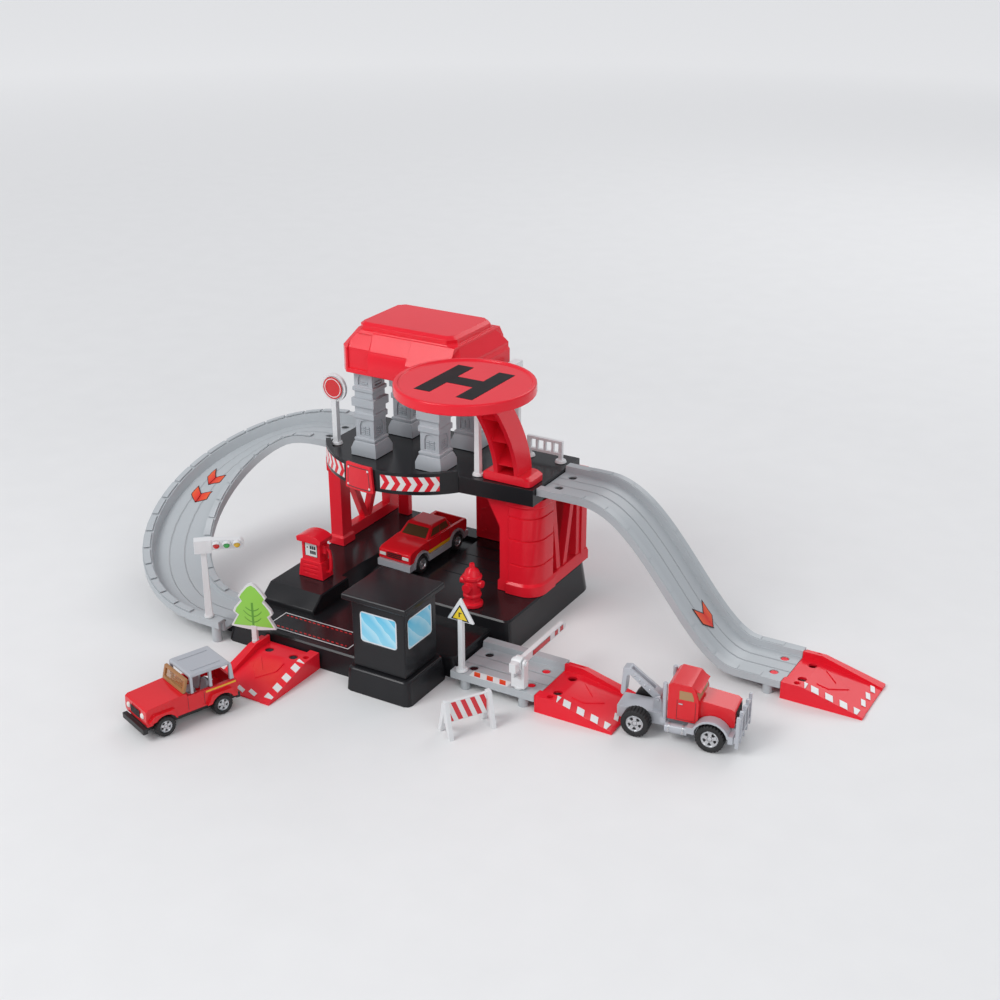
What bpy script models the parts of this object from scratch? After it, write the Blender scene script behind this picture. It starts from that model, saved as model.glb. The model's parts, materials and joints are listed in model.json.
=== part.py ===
"""Toy parking garage: a two-storey tower with a helipad, two falling tracks, ramps, a booth
and street furniture. Lengths below are millimetres; the helpers turn them into metres.
The origin is the middle of the tower's underside, +Z is up and the front faces -Y."""
import math

import bmesh
import bpy
from mathutils import Matrix

MM = 0.001
GAP = 0.3
WELD = 0.00001
OVERRUN = 1.0

# Tray: the black base that everything stands on
GARAGE_HALF_WIDTH = 83.0
PLATFORM_FRONT = -15.0
PLATFORM_BACK = 98.0
PLATFORM_TOP = 22.0
ISLAND_TOP = 25.0
ISLAND_FRONT = -58.0
ISLAND_LIP = 17.0
ISLAND_SLOPE = 10.0
DRIVE_MIDDLE = -20.0
DRIVE_HALF = 20.0
DRIVE_LEFT = DRIVE_MIDDLE - DRIVE_HALF
DRIVE_RIGHT = DRIVE_MIDDLE + DRIVE_HALF
DRIVE_FLOOR = 19.0
DRIVE_END = 84.0
KERB_SPREAD = 8.0
DRIVE_CLIMB_END = 15.0
APRON_TOP = 14.0
APRON_FRONT = -89.0
APRON_RIGHT = GARAGE_HALF_WIDTH - 13.0
TRAY_SKIN = 2.6
TRAY_RIB = 2.4
TRAY_FLARE = 2.4
TRAY_CORNER = 4.0
TRAY_BACK_CORNER = 14.0
BOSS_HALF = 8.0
BAY_LINE_WIDTH = 0.8
BAY_LINE_DEPTH = 0.6
BAY_LINES = 4
BAY_LEFT = DRIVE_RIGHT + 6.0

# Booth on its own plinth
PLINTH_WIDTH = 45.0
PLINTH_DEPTH = 42.0
PLINTH_RIGHT = APRON_RIGHT - 7.0
PLINTH_LEFT = PLINTH_RIGHT - PLINTH_WIDTH
PLINTH_BACK = -60.0
PLINTH_FRONT = PLINTH_BACK - PLINTH_DEPTH
PLINTH_TOP = 15.4
PLINTH_CORNER = 4.0
BOOTH_INSET = 3.4
BOOTH_HEIGHT = 45.6
BOOTH_WALL = 2.0
BOOTH_EAVE = 4.4
BOOTH_ROOF_THICK = 4.2
WINDOW_RECESS = 0.7
WINDOW_WIDTH = 27.0
WINDOW_HEIGHT = 21.0
WINDOW_SILL = 18.0
WINDOW_CORNER = 2.5

# Walls between tray and deck
DECK_UNDER = 91.0
WALL_THICK = 7.0
WALL_FRONT = 21.0
WALL_BACK = 95.0
RAIL_HEIGHT = 8.0
STRUT_WIDTH = 5.0
STRUT_THICK = 5.0
POST_DEPTH = 11.0
POST_PROUD = 3.0
CAPITAL_HEIGHT = 9.0
FOOT_HEIGHT = 7.0
TOWER_WIDTH = 28.0
TOWER_LEFT = GARAGE_HALF_WIDTH - TOWER_WIDTH
BAY_RIGHT = TOWER_LEFT - 5.0
TOWER_DEPTH = 25.0
TOWER_RADIUS = 13.0
TOWER_GROOVES = (44.0, 62.0, 78.0)
GROOVE_DEPTH = 0.8
GROOVE_HEIGHT = 1.2
FIN_WIDTH = 6.0
FIN_DEPTH = 8.0
GUSSET_REACH = 10.0
GUSSET_HEIGHT = 22.0
BACK_WALL_FRONT = 86.0
BACK_WALL_THICK = 5.0
ARCH_LEFT = DRIVE_LEFT - 20.0
ARCH_RIGHT = DRIVE_RIGHT - 2.0
ARCH_CORNER = 12.0
ARCH_TOP = 80.0
STEP_SIZE = 5.0

# Upper deck with its bowed fascia
DECK_THICK = 11.3
DECK_TOP = DECK_UNDER + DECK_THICK
DECK_SKIN = 2.6
DECK_LEFT = -GARAGE_HALF_WIDTH + 3.0
DECK_RIGHT = GARAGE_HALF_WIDTH
DECK_FRONT = 16.0
DECK_BACK = 80.0
DECK_RIB = 2.4
DECK_EDGE = 3.0
DECK_COLUMNS = 6
DECK_ROWS = 2
FASCIA_RADIUS = 68.0
FASCIA_X = DECK_LEFT + FASCIA_RADIUS - 11.0
FASCIA_Y = DECK_FRONT + 39.0
FASCIA_THICK = 3.5
FASCIA_TOP = DECK_TOP + 3.7
FASCIA_START = 213.0
FASCIA_END = 321.0
SIGN_ANGLE = 264.0
SIGN_WIDTH_LOW = 24.0
SIGN_WIDTH_HIGH = 21.0
SIGN_LOW = DECK_UNDER - 1.5
SIGN_HIGH = FASCIA_TOP + 1.8
SIGN_THICK = 2.2

# Pillars and roof
PILLAR_HEIGHT = 58.4
PILLAR_HALF = 7.2
PILLAR_FRONT_LEFT = (-42.5, 19.0)
PILLAR_FRONT_RIGHT = (8.5, 19.0)
PILLAR_BACK_LEFT = (-42.5, 63.0)
PILLAR_BACK_RIGHT = (8.5, 63.0)
RELIEF_DEPTH = 1.0
RELIEF_WIDTH = 8.0
ROOF_LEFT = -57.0
ROOF_RIGHT = 34.0
ROOF_FRONT = 7.0
ROOF_BACK = 75.0
ROOF_BAND = 17.0
ROOF_CORNER = 5.0
ROOF_SLOPE_RISE = 11.0
ROOF_SLOPE_RUN = 7.5
ROOF_CAP_RISE = 4.5
ROOF_WALL = 2.6
ROOF_PANEL_PROUD = 1.6
ROOF_PANEL_DROP = 4.0
ROOF_PANEL_LIFT = 1.0
ROOF_STEPS = (-34.0, -4.0, 28.0)
ROOF_FACET = 11.0
ROOF_FIELD = 1.2

# Helipad
PAD_X = 62.0
PAD_Y = -30.0
PAD_UNDER = DECK_TOP + 77.2
PAD_RADIUS = 43.0
PAD_THICK = 7.0
PAD_LIP = 1.0
PAD_RIM = 2.6
PAD_SKIN = 2.6
PAD_SIDES = 40
ARM_WIDTH = 18.0
ARM_LEFT = PAD_X - ARM_WIDTH / 2
ARM_RIGHT = PAD_X + ARM_WIDTH / 2
ARM_FOOT_Y = 27.0
ARM_FOOT_TOP = DECK_TOP + 5.7
ARM_REACH = 41.0
ARM_DEPTH = 18.0
ARM_WALL = 3.0
ARM_RIBS = 4
ARM_STEPS = 14
ARM_BEND = 1.6
ARM_STRAIGHT_TOP = 0.93
ARM_BASE_LEFT = PAD_X - 18.0
ARM_BASE_RIGHT = PAD_X + 18.0
ARM_PEG_INSET = 8.0
ARM_BASE_HALF = 9.5
SOCKET_WALL = 1.8

# Tracks, plates and ramps
TRACK_CHANNEL = 32.0
TRACK_FLANGE = 7.0
TRACK_KERB = 2.5
TRACK_SKIN = 1.8
TRACK_SKIRT = 5.0
TRACK_OUTER_WALL = 7.0
TRACK_HIGH = DECK_TOP - 2.3
TRACK_LOW = 9.0
CURVE_X = DECK_LEFT - 32.0
CURVE_Y = -16.0
CURVE_RADIUS = 60.0
CURVE_STEPS = 30
CURVE_LEVEL_HIGH = 9.0
CURVE_LEVEL_LOW = 16.0
SLOPE_Y = 43.0
SLOPE_LEAD = 29.0
SLOPE_SPAN = 112.0
SLOPE_RUNOUT = 30.0
SLOPE_START = DECK_RIGHT + SLOPE_LEAD
SLOPE_END = SLOPE_START + SLOPE_SPAN
SLOPE_TRACK_END = SLOPE_END + SLOPE_RUNOUT
SLOPE_EASE = 1.15
SLOPE_STEPS = 22
PLATE_LENGTH = 59.0
PLATE_Y = -46.0
RAMP_LENGTH = 52.0
RAMP_LEVEL = 13.0
RAMP_TIP = 1.2
RAMP_WALL = 4.5
FRONT_RAMP_X = -33.5
HOLE_RADIUS = 2.9
PEG_RADIUS = 2.6
HOLE_SETBACK = 9.0
HOLE_SPREAD = 9.5
TONGUE_HALF = 12.0
TONGUE_LENGTH = 13.0
TONGUE_THICK = 2.4
FOOT_RADIUS = 3.2

# Street furniture
POST_HALF = 2.0
BASE_RADIUS = 4.0
BASE_HEIGHT = 1.6
PIN_RADIUS = 1.8
PIN_LENGTH = 1.5
SIGN_BOARD = 2.2
ROUND_SIGN_X = DECK_LEFT + 7.5
ROUND_SIGN_Y = DECK_FRONT + 4.5
ROUND_SIGN_CENTRE = DECK_TOP + 40.7
ROUND_SIGN_RADIUS = 9.8
LAMP_FRONT = (39.6, 21.0)
LAMP_BACK = (42.6, 67.0)
LAMP_TOP = DECK_TOP + 65.7
LAMP_REACH = 14.0
LAMP_TAIL = 2.4
LAMP_HALF = 2.8
LAMP_HEAD_HEIGHT = 7.0
FENCE_LEFT = 52.0
FENCE_RIGHT = 75.6
FENCE_Y = 67.0
FENCE_TOP = DECK_TOP + 15.0
FENCE_BARS = 4
TRIANGLE_X = APRON_RIGHT + 9.0
TRIANGLE_HEAD = 16.0
TRIANGLE_TOP = 62.0
BARRIER_X = APRON_RIGHT + 50.0
BARRIER_PIVOT = 29.0
BARRIER_ARM_LENGTH = 56.0
BARRIER_ARM_HEIGHT = 5.0
BARRIER_ARM_THICK = 3.0
BARRIER_EAR = 1.8
BARRIER_HUB = 4.2
BARRIER_HUB_HALF = 2.4
BARRIER_TAIL = 9.0
BARRIER_PIN = 1.6
PIN_CLEARANCE = 0.1
PEG_CLEARANCE = 0.15
BARRICADE_X = 107.0
BARRICADE_Y = -105.0
BARRICADE_TURN = 58.0
BARRICADE_LENGTH = 30.0
BARRICADE_HEIGHT = 22.0
BARRICADE_SPLAY = 6.5
PUMP_X = -GARAGE_HALF_WIDTH + 22.0
PUMP_Y = ISLAND_FRONT + 32.5
PUMP_WIDTH = 20.0
PUMP_DEPTH = 12.0
HYDRANT_X = TOWER_LEFT - 5.0
HYDRANT_Y = PLATFORM_FRONT + 10.0
HYDRANT_HEIGHT = 30.0
HYDRANT_SIDES = 14
TRAFFIC_X = -GARAGE_HALF_WIDTH - 13.0
TRAFFIC_TURN = 40.0
TRAFFIC_TOP = 72.0
TRAFFIC_ARM = 26.0
TRAFFIC_LAMP = 2.5
TREE_FOOT_RADIUS = 2.3
TREE_TURN = 18.0
TREE_TOP = 54.0
TREE_BOARD_HEIGHT = 33.0
TREE_WIDTH = 30.0

# Vehicles: each stands at (x, y, z) with its nose turned by the last value
AXLE_RADIUS = 1.0
TYRE_SIDES = 16
TYRE_EDGE = 0.6
RIM_SHARE = 0.62
ARCH_CLEARANCE = 1.4
OPEN_CAR_PLACE = (-48.0, -177.0, 0.0, 250.0)
OPEN_CAR_WHEELBASE = 38.0
OPEN_CAR_TYRE = 6.5
OPEN_CAR_TYRE_WIDTH = 6.0
OPEN_CAR_WIDE = 30.0
OPEN_CAR_LONG = 62.0
OPEN_CAR_FLOOR = 9.0
OPEN_CAR_BELT = 20.0
OPEN_CAR_HOOD = 22.0
OPEN_CAR_TOP = 33.0
OPEN_CAR_WALL = 2.2
TRUCK_PLACE = (216.0, -44.5, 0.0, 8.0)
TRUCK_WHEELBASE = 45.0
TRUCK_TYRE = 8.75
TRUCK_TYRE_WIDTH = 8.0
TRUCK_WIDE = 34.0
TRUCK_LONG = 72.0
TRUCK_FLOOR = 14.0
TRUCK_HOOD = 27.0
TRUCK_TOP = 38.0
BOOM_PIVOT = (-12.0, 21.0)
BOOM_HALF = 3.4
BOOM_EAR = 1.8
BOOM_PIN = 1.2
PICKUP_PLACE = (DRIVE_MIDDLE, 45.0, DRIVE_FLOOR + GAP, 268.0)
PICKUP_WHEELBASE = 43.0
PICKUP_TYRE = 6.5
PICKUP_TYRE_WIDTH = 5.5
PICKUP_WIDE = 29.0
PICKUP_LONG = 70.0
PICKUP_FLOOR = 10.0
PICKUP_BELT = 19.6
PICKUP_TOP = 27.4
FLARE_THICK = 1.4

PARTS = None
GUIDES = None
MATERIALS = {}


def clear_scene():
    """Remove whatever the file held."""
    for obj in list(bpy.data.objects):
        bpy.data.objects.remove(obj)


def make_collections():
    """One collection for the toy and one for the cutters and joined shapes."""
    global PARTS, GUIDES
    PARTS = bpy.data.collections.new("toy_parking_garage")
    GUIDES = bpy.data.collections.new("cutters")
    for collection in (PARTS, GUIDES):
        bpy.context.scene.collection.children.link(collection)


def material(name, colour, roughness):
    """A plain moulded plastic, shared by the pieces of its colour."""
    if name not in MATERIALS:
        made = bpy.data.materials.new(name)
        made.use_nodes = True
        shader = made.node_tree.nodes["Principled BSDF"]
        shader.inputs["Base Color"].default_value = (*colour, 1.0)
        shader.inputs["Roughness"].default_value = roughness
        shader.inputs["Metallic"].default_value = 0.0
        MATERIALS[name] = made
    return MATERIALS[name]


def red_plastic():
    return material("red_plastic", (0.80, 0.04, 0.05), 0.30)


def black_plastic():
    return material("black_plastic", (0.025, 0.025, 0.028), 0.32)


def grey_plastic():
    return material("grey_plastic", (0.50, 0.53, 0.56), 0.42)


def white_plastic():
    return material("white_plastic", (0.85, 0.85, 0.86), 0.38)


def green_board():
    return material("green_board", (0.25, 0.62, 0.12), 0.40)


def red_paint():
    return material("red_paint", (0.72, 0.03, 0.04), 0.22)


def silver_plastic():
    return material("silver_plastic", (0.42, 0.44, 0.48), 0.35)


def tan_plastic():
    return material("tan_plastic", (0.62, 0.40, 0.22), 0.30)


def tyre_plastic():
    return material("tyre_plastic", (0.03, 0.03, 0.032), 0.5)


# Shape helpers: each returns an object in the cutters collection


def guide(name, mesh):
    """Wrap a mesh as a hidden working object."""
    obj = bpy.data.objects.new(name, mesh)
    obj.hide_render = True
    obj.display_type = "WIRE"
    GUIDES.objects.link(obj)
    return obj


def guide_from_bmesh(name, shape):
    """Turn a bmesh in millimetres into a working object in metres."""
    bmesh.ops.scale(shape, vec=(MM, MM, MM), verts=shape.verts)
    mesh = bpy.data.meshes.new(name)
    shape.to_mesh(mesh)
    shape.free()
    return guide(name, mesh)


def block(low, high, name="block"):
    """A box between two corners."""
    shape = bmesh.new()
    bmesh.ops.create_cube(shape, size=1.0)
    for vert in shape.verts:
        for axis in range(3):
            vert.co[axis] = low[axis] + (vert.co[axis] + 0.5) * (high[axis] - low[axis])
    return guide_from_bmesh(name, shape)


def trough(low, high, floor, spread):
    """A box whose top is wider by spread on both X sides and whose floor may climb along Y."""
    shape = bmesh.new()
    bmesh.ops.create_cube(shape, size=1.0)
    for vert in shape.verts:
        side = 1.0 if vert.co.x > 0 else -1.0
        back = vert.co.y > 0
        top = vert.co.z > 0
        vert.co.x = (high[0] if side > 0 else low[0]) + (side * spread if top else 0.0)
        vert.co.y = high[1] if back else low[1]
        vert.co.z = floor[2] if top else (floor[1] if back else floor[0])
    return guide_from_bmesh("trough", shape)


def arc(x, y, radius, start, end, steps):
    """Points on an arc, angles in degrees."""
    points = []
    for step in range(steps + 1):
        angle = math.radians(start + (end - start) * step / steps)
        points.append((x + radius * math.cos(angle), y + radius * math.sin(angle)))
    return points


def rounded(low, high, radii):
    """A rectangle with rounded corners; radii run front left, front right, back right, back left."""
    if not isinstance(radii, tuple):
        radii = (radii,) * 4
    left, front = low
    right, back = high
    corners = (
        (left + radii[0], front + radii[0], radii[0], 180),
        (right - radii[1], front + radii[1], radii[1], 270),
        (right - radii[2], back - radii[2], radii[2], 0),
        (left + radii[3], back - radii[3], radii[3], 90),
    )
    outline = []
    for x, y, radius, start in corners:
        steps = max(2, round(radius / 2.2))
        outline += arc(x, y, radius, start, start + 90, steps)
    return outline


def rectangle(left, front, right, back):
    return ((left, front), (right, front), (right, back), (left, back))


def band(x, y, radius_in, radius_out, start, end, steps):
    """An arc-shaped band round a centre."""
    outer = arc(x, y, radius_out, start, end, steps)
    inner = arc(x, y, radius_in, end, start, steps)
    return outer + inner


def turn_to_axis(axis):
    """Rotation that stands a flat outline's normal on the named axis."""
    if axis == "X":
        return Matrix(((0, 0, 1), (1, 0, 0), (0, 1, 0))).to_4x4()
    if axis == "Y":
        return Matrix(((1, 0, 0), (0, 0, -1), (0, 1, 0))).to_4x4()
    return Matrix.Identity(4)


def curve_to_mesh(obj, name):
    """Make a curve a closed mesh with welded caps and outward faces, and drop the curve."""
    bpy.context.view_layer.update()
    graph = bpy.context.evaluated_depsgraph_get()
    mesh = bpy.data.meshes.new_from_object(obj.evaluated_get(graph))
    placed = obj.matrix_world.copy()
    bpy.data.objects.remove(obj)
    shape = bmesh.new()
    shape.from_mesh(mesh)
    bmesh.ops.remove_doubles(shape, verts=shape.verts, dist=WELD)
    bmesh.ops.transform(shape, matrix=placed, verts=shape.verts)
    bmesh.ops.recalc_face_normals(shape, faces=shape.faces)
    shape.to_mesh(mesh)
    shape.free()
    return guide(name, mesh)


def curve_object(name, points, cyclic, flat):
    """A poly spline through points in millimetres."""
    curve = bpy.data.curves.new(name, "CURVE")
    curve.dimensions = "2D" if flat else "3D"
    spline = curve.splines.new("POLY")
    spline.points.add(len(points) - 1)
    for slot, point in zip(spline.points, points):
        place = tuple(value * MM for value in point)
        slot.co = (*place, 0.0, 1.0) if len(place) == 2 else (*place, 1.0)
    spline.use_cyclic_u = cyclic
    obj = bpy.data.objects.new(name, curve)
    GUIDES.objects.link(obj)
    return obj


def prism(outline, low, high, axis="Z", name="prism"):
    """A flat outline given thickness between two heights along its axis."""
    obj = curve_object(name, outline, True, True)
    obj.data.fill_mode = "BOTH"
    obj.data.extrude = (high - low) * MM / 2
    middle = Matrix.Translation((0, 0, (high + low) * MM / 2))
    obj.matrix_world = turn_to_axis(axis) @ middle if axis != "Y" else turn_to_axis(axis) @ \
        Matrix.Translation((0, 0, -(high + low) * MM / 2))
    return curve_to_mesh(obj, name)


def swept(section, path, name="swept"):
    """A closed section carried along a path; the section's x points to the path's right."""
    profile = curve_object(name + "_section", section, True, True)
    profile.data.fill_mode = "NONE"
    rail = curve_object(name, path, False, False)
    rail.data.twist_mode = "Z_UP"
    rail.data.bevel_mode = "OBJECT"
    rail.data.bevel_object = profile
    rail.data.use_fill_caps = True
    made = curve_to_mesh(rail, name)
    bpy.data.objects.remove(profile)
    return made


def tube(points, radius, name="tube"):
    """A round rod along a path."""
    rail = curve_object(name, points, False, False)
    rail.data.bevel_depth = radius * MM
    rail.data.bevel_resolution = 1
    rail.data.use_fill_caps = True
    return curve_to_mesh(rail, name)


def cylinder(centre, radius, low, high, axis="Z", sides=12, top_radius=None):
    """A round bar or a cone along an axis; centre gives the other two coordinates."""
    shape = bmesh.new()
    top = radius if top_radius is None else top_radius
    bmesh.ops.create_cone(shape, cap_ends=True, segments=sides, radius1=radius, radius2=top,
                          depth=high - low)
    bmesh.ops.rotate(shape, verts=shape.verts, matrix=Matrix.Rotation(math.pi / sides, 3, "Z"))
    bmesh.ops.translate(shape, verts=shape.verts, vec=(0, 0, (high + low) / 2))
    bmesh.ops.transform(shape, matrix=turn_to_axis(axis), verts=shape.verts)
    if axis == "Y":
        bmesh.ops.translate(shape, verts=shape.verts, vec=(0, high + low, 0))
    first, second = {"X": (1, 2), "Y": (0, 2), "Z": (0, 1)}[axis]
    offset = [0.0, 0.0, 0.0]
    offset[first] = centre[0]
    offset[second] = centre[1]
    bmesh.ops.translate(shape, verts=shape.verts, vec=offset)
    return guide_from_bmesh("cylinder", shape)


def turned(profile, centre, steps, turn=0.0, name="turned"):
    """A profile of (radius, height), top to bottom, spun about a vertical axis."""
    mesh = bpy.data.meshes.new(name)
    verts = [(radius * MM, 0.0, height * MM) for radius, height in profile]
    mesh.from_pydata(verts, [(i, i + 1) for i in range(len(verts) - 1)], [])
    obj = guide(name, mesh)
    screw = obj.modifiers.new("Screw", "SCREW")
    screw.steps = steps
    screw.render_steps = steps
    screw.use_merge_vertices = True
    screw.merge_threshold = WELD
    obj.location = (centre[0] * MM, centre[1] * MM, 0.0)
    obj.rotation_euler = (0.0, 0.0, math.radians(turn))
    return obj


def loft(rings, name="loft"):
    """Skin between outlines of (x, y) at rising heights; every outline has as many points."""
    shape = bmesh.new()
    layers = []
    for height, outline in rings:
        layers.append([shape.verts.new((x, y, height)) for x, y in outline])
    count = len(layers[0])
    shape.faces.new(list(reversed(layers[0])))
    shape.faces.new(layers[-1])
    for lower, upper in zip(layers, layers[1:]):
        for i in range(count):
            j = (i + 1) % count
            shape.faces.new((lower[i], lower[j], upper[j], upper[i]))
    return guide_from_bmesh(name, shape)


def group(objects, name="group"):
    """Put separate working shapes into one object."""
    bpy.context.view_layer.update()
    graph = bpy.context.evaluated_depsgraph_get()
    shape = bmesh.new()
    for obj in objects:
        mesh = bpy.data.meshes.new_from_object(obj.evaluated_get(graph))
        mesh.transform(obj.matrix_world)
        shape.from_mesh(mesh)
        bpy.data.objects.remove(obj)
    mesh = bpy.data.meshes.new(name)
    shape.to_mesh(mesh)
    shape.free()
    return guide(name, mesh)


def boolean(target, tool, operation):
    modifier = target.modifiers.new(operation.title(), "BOOLEAN")
    modifier.operation = operation
    modifier.solver = "EXACT"
    modifier.object = tool
    return target


def join(target, *tools):
    for tool in tools:
        boolean(target, tool, "UNION")
    return target


def cut(target, *tools):
    for tool in tools:
        boolean(target, tool, "DIFFERENCE")
    return target


def soften(obj, width, segments=1):
    """Round the sharp edges of a shape."""
    bevel = obj.modifiers.new("Bevel", "BEVEL")
    bevel.width = width * MM
    bevel.segments = segments
    bevel.limit_method = "ANGLE"
    bevel.angle_limit = math.radians(40)
    return obj


def place(obj, x, y, z, turn=0.0, pivot=(0.0, 0.0)):
    """Turn a shape about a vertical line through pivot and move it, in its mesh."""
    about = Matrix.Translation((pivot[0] * MM, pivot[1] * MM, 0.0))
    turned_by = about @ Matrix.Rotation(math.radians(turn), 4, "Z") @ about.inverted()
    obj.data.transform(Matrix.Translation((x * MM, y * MM, z * MM)) @ turned_by)
    return obj


def keep(obj, name, finish):
    """Make a working shape one of the toy's pieces."""
    obj.name = name
    obj.data.name = name
    obj.hide_render = False
    obj.display_type = "TEXTURED"
    GUIDES.objects.unlink(obj)
    PARTS.objects.link(obj)
    obj.data.materials.clear()
    obj.data.materials.append(finish)
    return obj


def set_origin(obj, x, y, z):
    """Put a moving piece's origin on its joint's axis."""
    obj.data.transform(Matrix.Translation((-x * MM, -y * MM, -z * MM)))
    obj.location = (x * MM, y * MM, z * MM)


# Joints between track pieces


def heading(point, x, y, turn):
    """A point given along and to the left of a track's end, in the toy's frame."""
    angle = math.radians(turn)
    along, left = point
    return (
        x + along * math.cos(angle) - left * math.sin(angle),
        y + along * math.sin(angle) + left * math.cos(angle),
    )


def joint_holes(x, y, turn, floor):
    """Two holes set back from a piece's end, as cutters."""
    holes = []
    for side in (-1, 1):
        centre = heading((HOLE_SETBACK, side * HOLE_SPREAD), x, y, turn)
        holes.append(cylinder(centre, HOLE_RADIUS, floor - 2 * TRACK_SKIN, floor + OVERRUN))
    return holes


def tongue(x, y, turn, floor, root):
    """A tongue that reaches under the next piece's floor, with pegs up into its holes."""
    top = floor - TRACK_SKIN - GAP
    outline = [heading(point, x, y, turn) for point in
               ((-root, -TONGUE_HALF), (TONGUE_LENGTH, -TONGUE_HALF),
                (TONGUE_LENGTH, TONGUE_HALF), (-root, TONGUE_HALF))]
    pieces = [prism(outline, top - TONGUE_THICK, top)]
    for side in (-1, 1):
        centre = heading((HOLE_SETBACK, side * HOLE_SPREAD), x, y, turn)
        pieces.append(cylinder(centre, PEG_RADIUS, top - OVERRUN, floor - 2 * GAP))
    return pieces


def tongue_root(x, y, turn, floor, start, length):
    """A block that ties a tongue to the floor above its root."""
    low = floor - TRACK_SKIN - GAP - TONGUE_THICK
    half = TONGUE_HALF - 0.5
    outline = [heading(point, x, y, turn) for point in
               ((-length, -half), (-start, -half), (-start, half), (-length, half))]
    return prism(outline, low + 0.4, floor - TRACK_SKIN / 2)


# Tray


def tray_pockets():
    """Hollows between the tray's ribs, open below."""
    regions = (
        (-GARAGE_HALF_WIDTH, -45.0, DRIVE_LEFT - KERB_SPREAD / 2, PLATFORM_BACK, ISLAND_TOP, 1, 4),
        (-GARAGE_HALF_WIDTH, APRON_FRONT, DRIVE_LEFT, -45.0, APRON_TOP, 1, 1),
        (DRIVE_LEFT, PLATFORM_FRONT, DRIVE_RIGHT, DRIVE_CLIMB_END, APRON_TOP, 1, 1),
        (DRIVE_LEFT, DRIVE_CLIMB_END, DRIVE_RIGHT, PLATFORM_BACK, DRIVE_FLOOR, 1, 2),
        (DRIVE_RIGHT + 2.0, PLATFORM_FRONT, GARAGE_HALF_WIDTH, PLATFORM_BACK, PLATFORM_TOP, 2, 3),
        (DRIVE_LEFT, APRON_FRONT, PLINTH_LEFT, PLATFORM_FRONT, APRON_TOP, 2, 2),
        (PLINTH_LEFT, PLINTH_BACK, APRON_RIGHT, PLATFORM_FRONT, APRON_TOP, 2, 1),
    )
    pockets = []
    for left, front, right, back, top, columns, rows in regions:
        wide = (right - left) / columns
        deep = (back - front) / rows
        for column in range(columns):
            for row in range(rows):
                x = left + column * wide + TRAY_RIB
                y = front + row * deep + TRAY_RIB
                pockets.append(block((x, y, -OVERRUN), (x + wide - 2 * TRAY_RIB,
                                                        y + deep - 2 * TRAY_RIB, top - TRAY_SKIN)))
    return group(pockets, "tray_pockets")


def flared(low, high, radii, top, flares=(TRAY_FLARE,) * 4):
    """A block with rounded corners whose sides lean in from a wider foot.

    The flares run left, front, right, back."""
    lip = 1.0
    wide = rounded((low[0] - flares[0], low[1] - flares[1]),
                   (high[0] + flares[2], high[1] + flares[3]), radii)
    full = rounded(low, high, radii)
    inner = rounded((low[0] + lip, low[1] + lip), (high[0] - lip, high[1] - lip), radii)
    return loft(((0.0, wide), (top - lip, full), (top, inner)), "flared")


def tray_blocks():
    """The tray's raised platform, pump island and low apron before they are hollowed."""
    corner = TRAY_CORNER
    platform = flared((-GARAGE_HALF_WIDTH, PLATFORM_FRONT), (GARAGE_HALF_WIDTH, PLATFORM_BACK),
                      (corner, corner, TRAY_BACK_CORNER, corner), PLATFORM_TOP)
    side = -GARAGE_HALF_WIDTH
    island = prism(((ISLAND_FRONT, 1.0), (ISLAND_FRONT, ISLAND_LIP),
                    (ISLAND_FRONT + ISLAND_SLOPE, ISLAND_TOP), (PLATFORM_BACK - 1.0, ISLAND_TOP),
                    (PLATFORM_BACK - 1.0, 1.0)), side + 0.2, DRIVE_LEFT, "X", "island")
    flare = TRAY_FLARE
    apron = flared((side, APRON_FRONT), (PLINTH_LEFT - GAP, PLATFORM_FRONT + 9.0), corner, APRON_TOP,
                   (flare, flare, 0.0, 0.0))
    wing = flared((PLINTH_LEFT - 10.0, PLINTH_BACK + GAP), (APRON_RIGHT, PLATFORM_FRONT + 9.0),
                  corner, APRON_TOP, (0.0, 0.0, flare, 0.0))
    return platform, soften(island, 0.8), apron, wing


def bay_lines():
    """Shallow grooves that mark the parking bay."""
    lines = []
    pitch = (WALL_BACK - WALL_FRONT) / (BAY_LINES + 1)
    for index in range(BAY_LINES):
        y = WALL_FRONT + (index + 0.5) * pitch
        lines.append(block((BAY_LEFT, y, PLATFORM_TOP - BAY_LINE_DEPTH),
                           (BAY_RIGHT, y + BAY_LINE_WIDTH, PLATFORM_TOP + OVERRUN)))
    return group(lines, "bay_lines")


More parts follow.
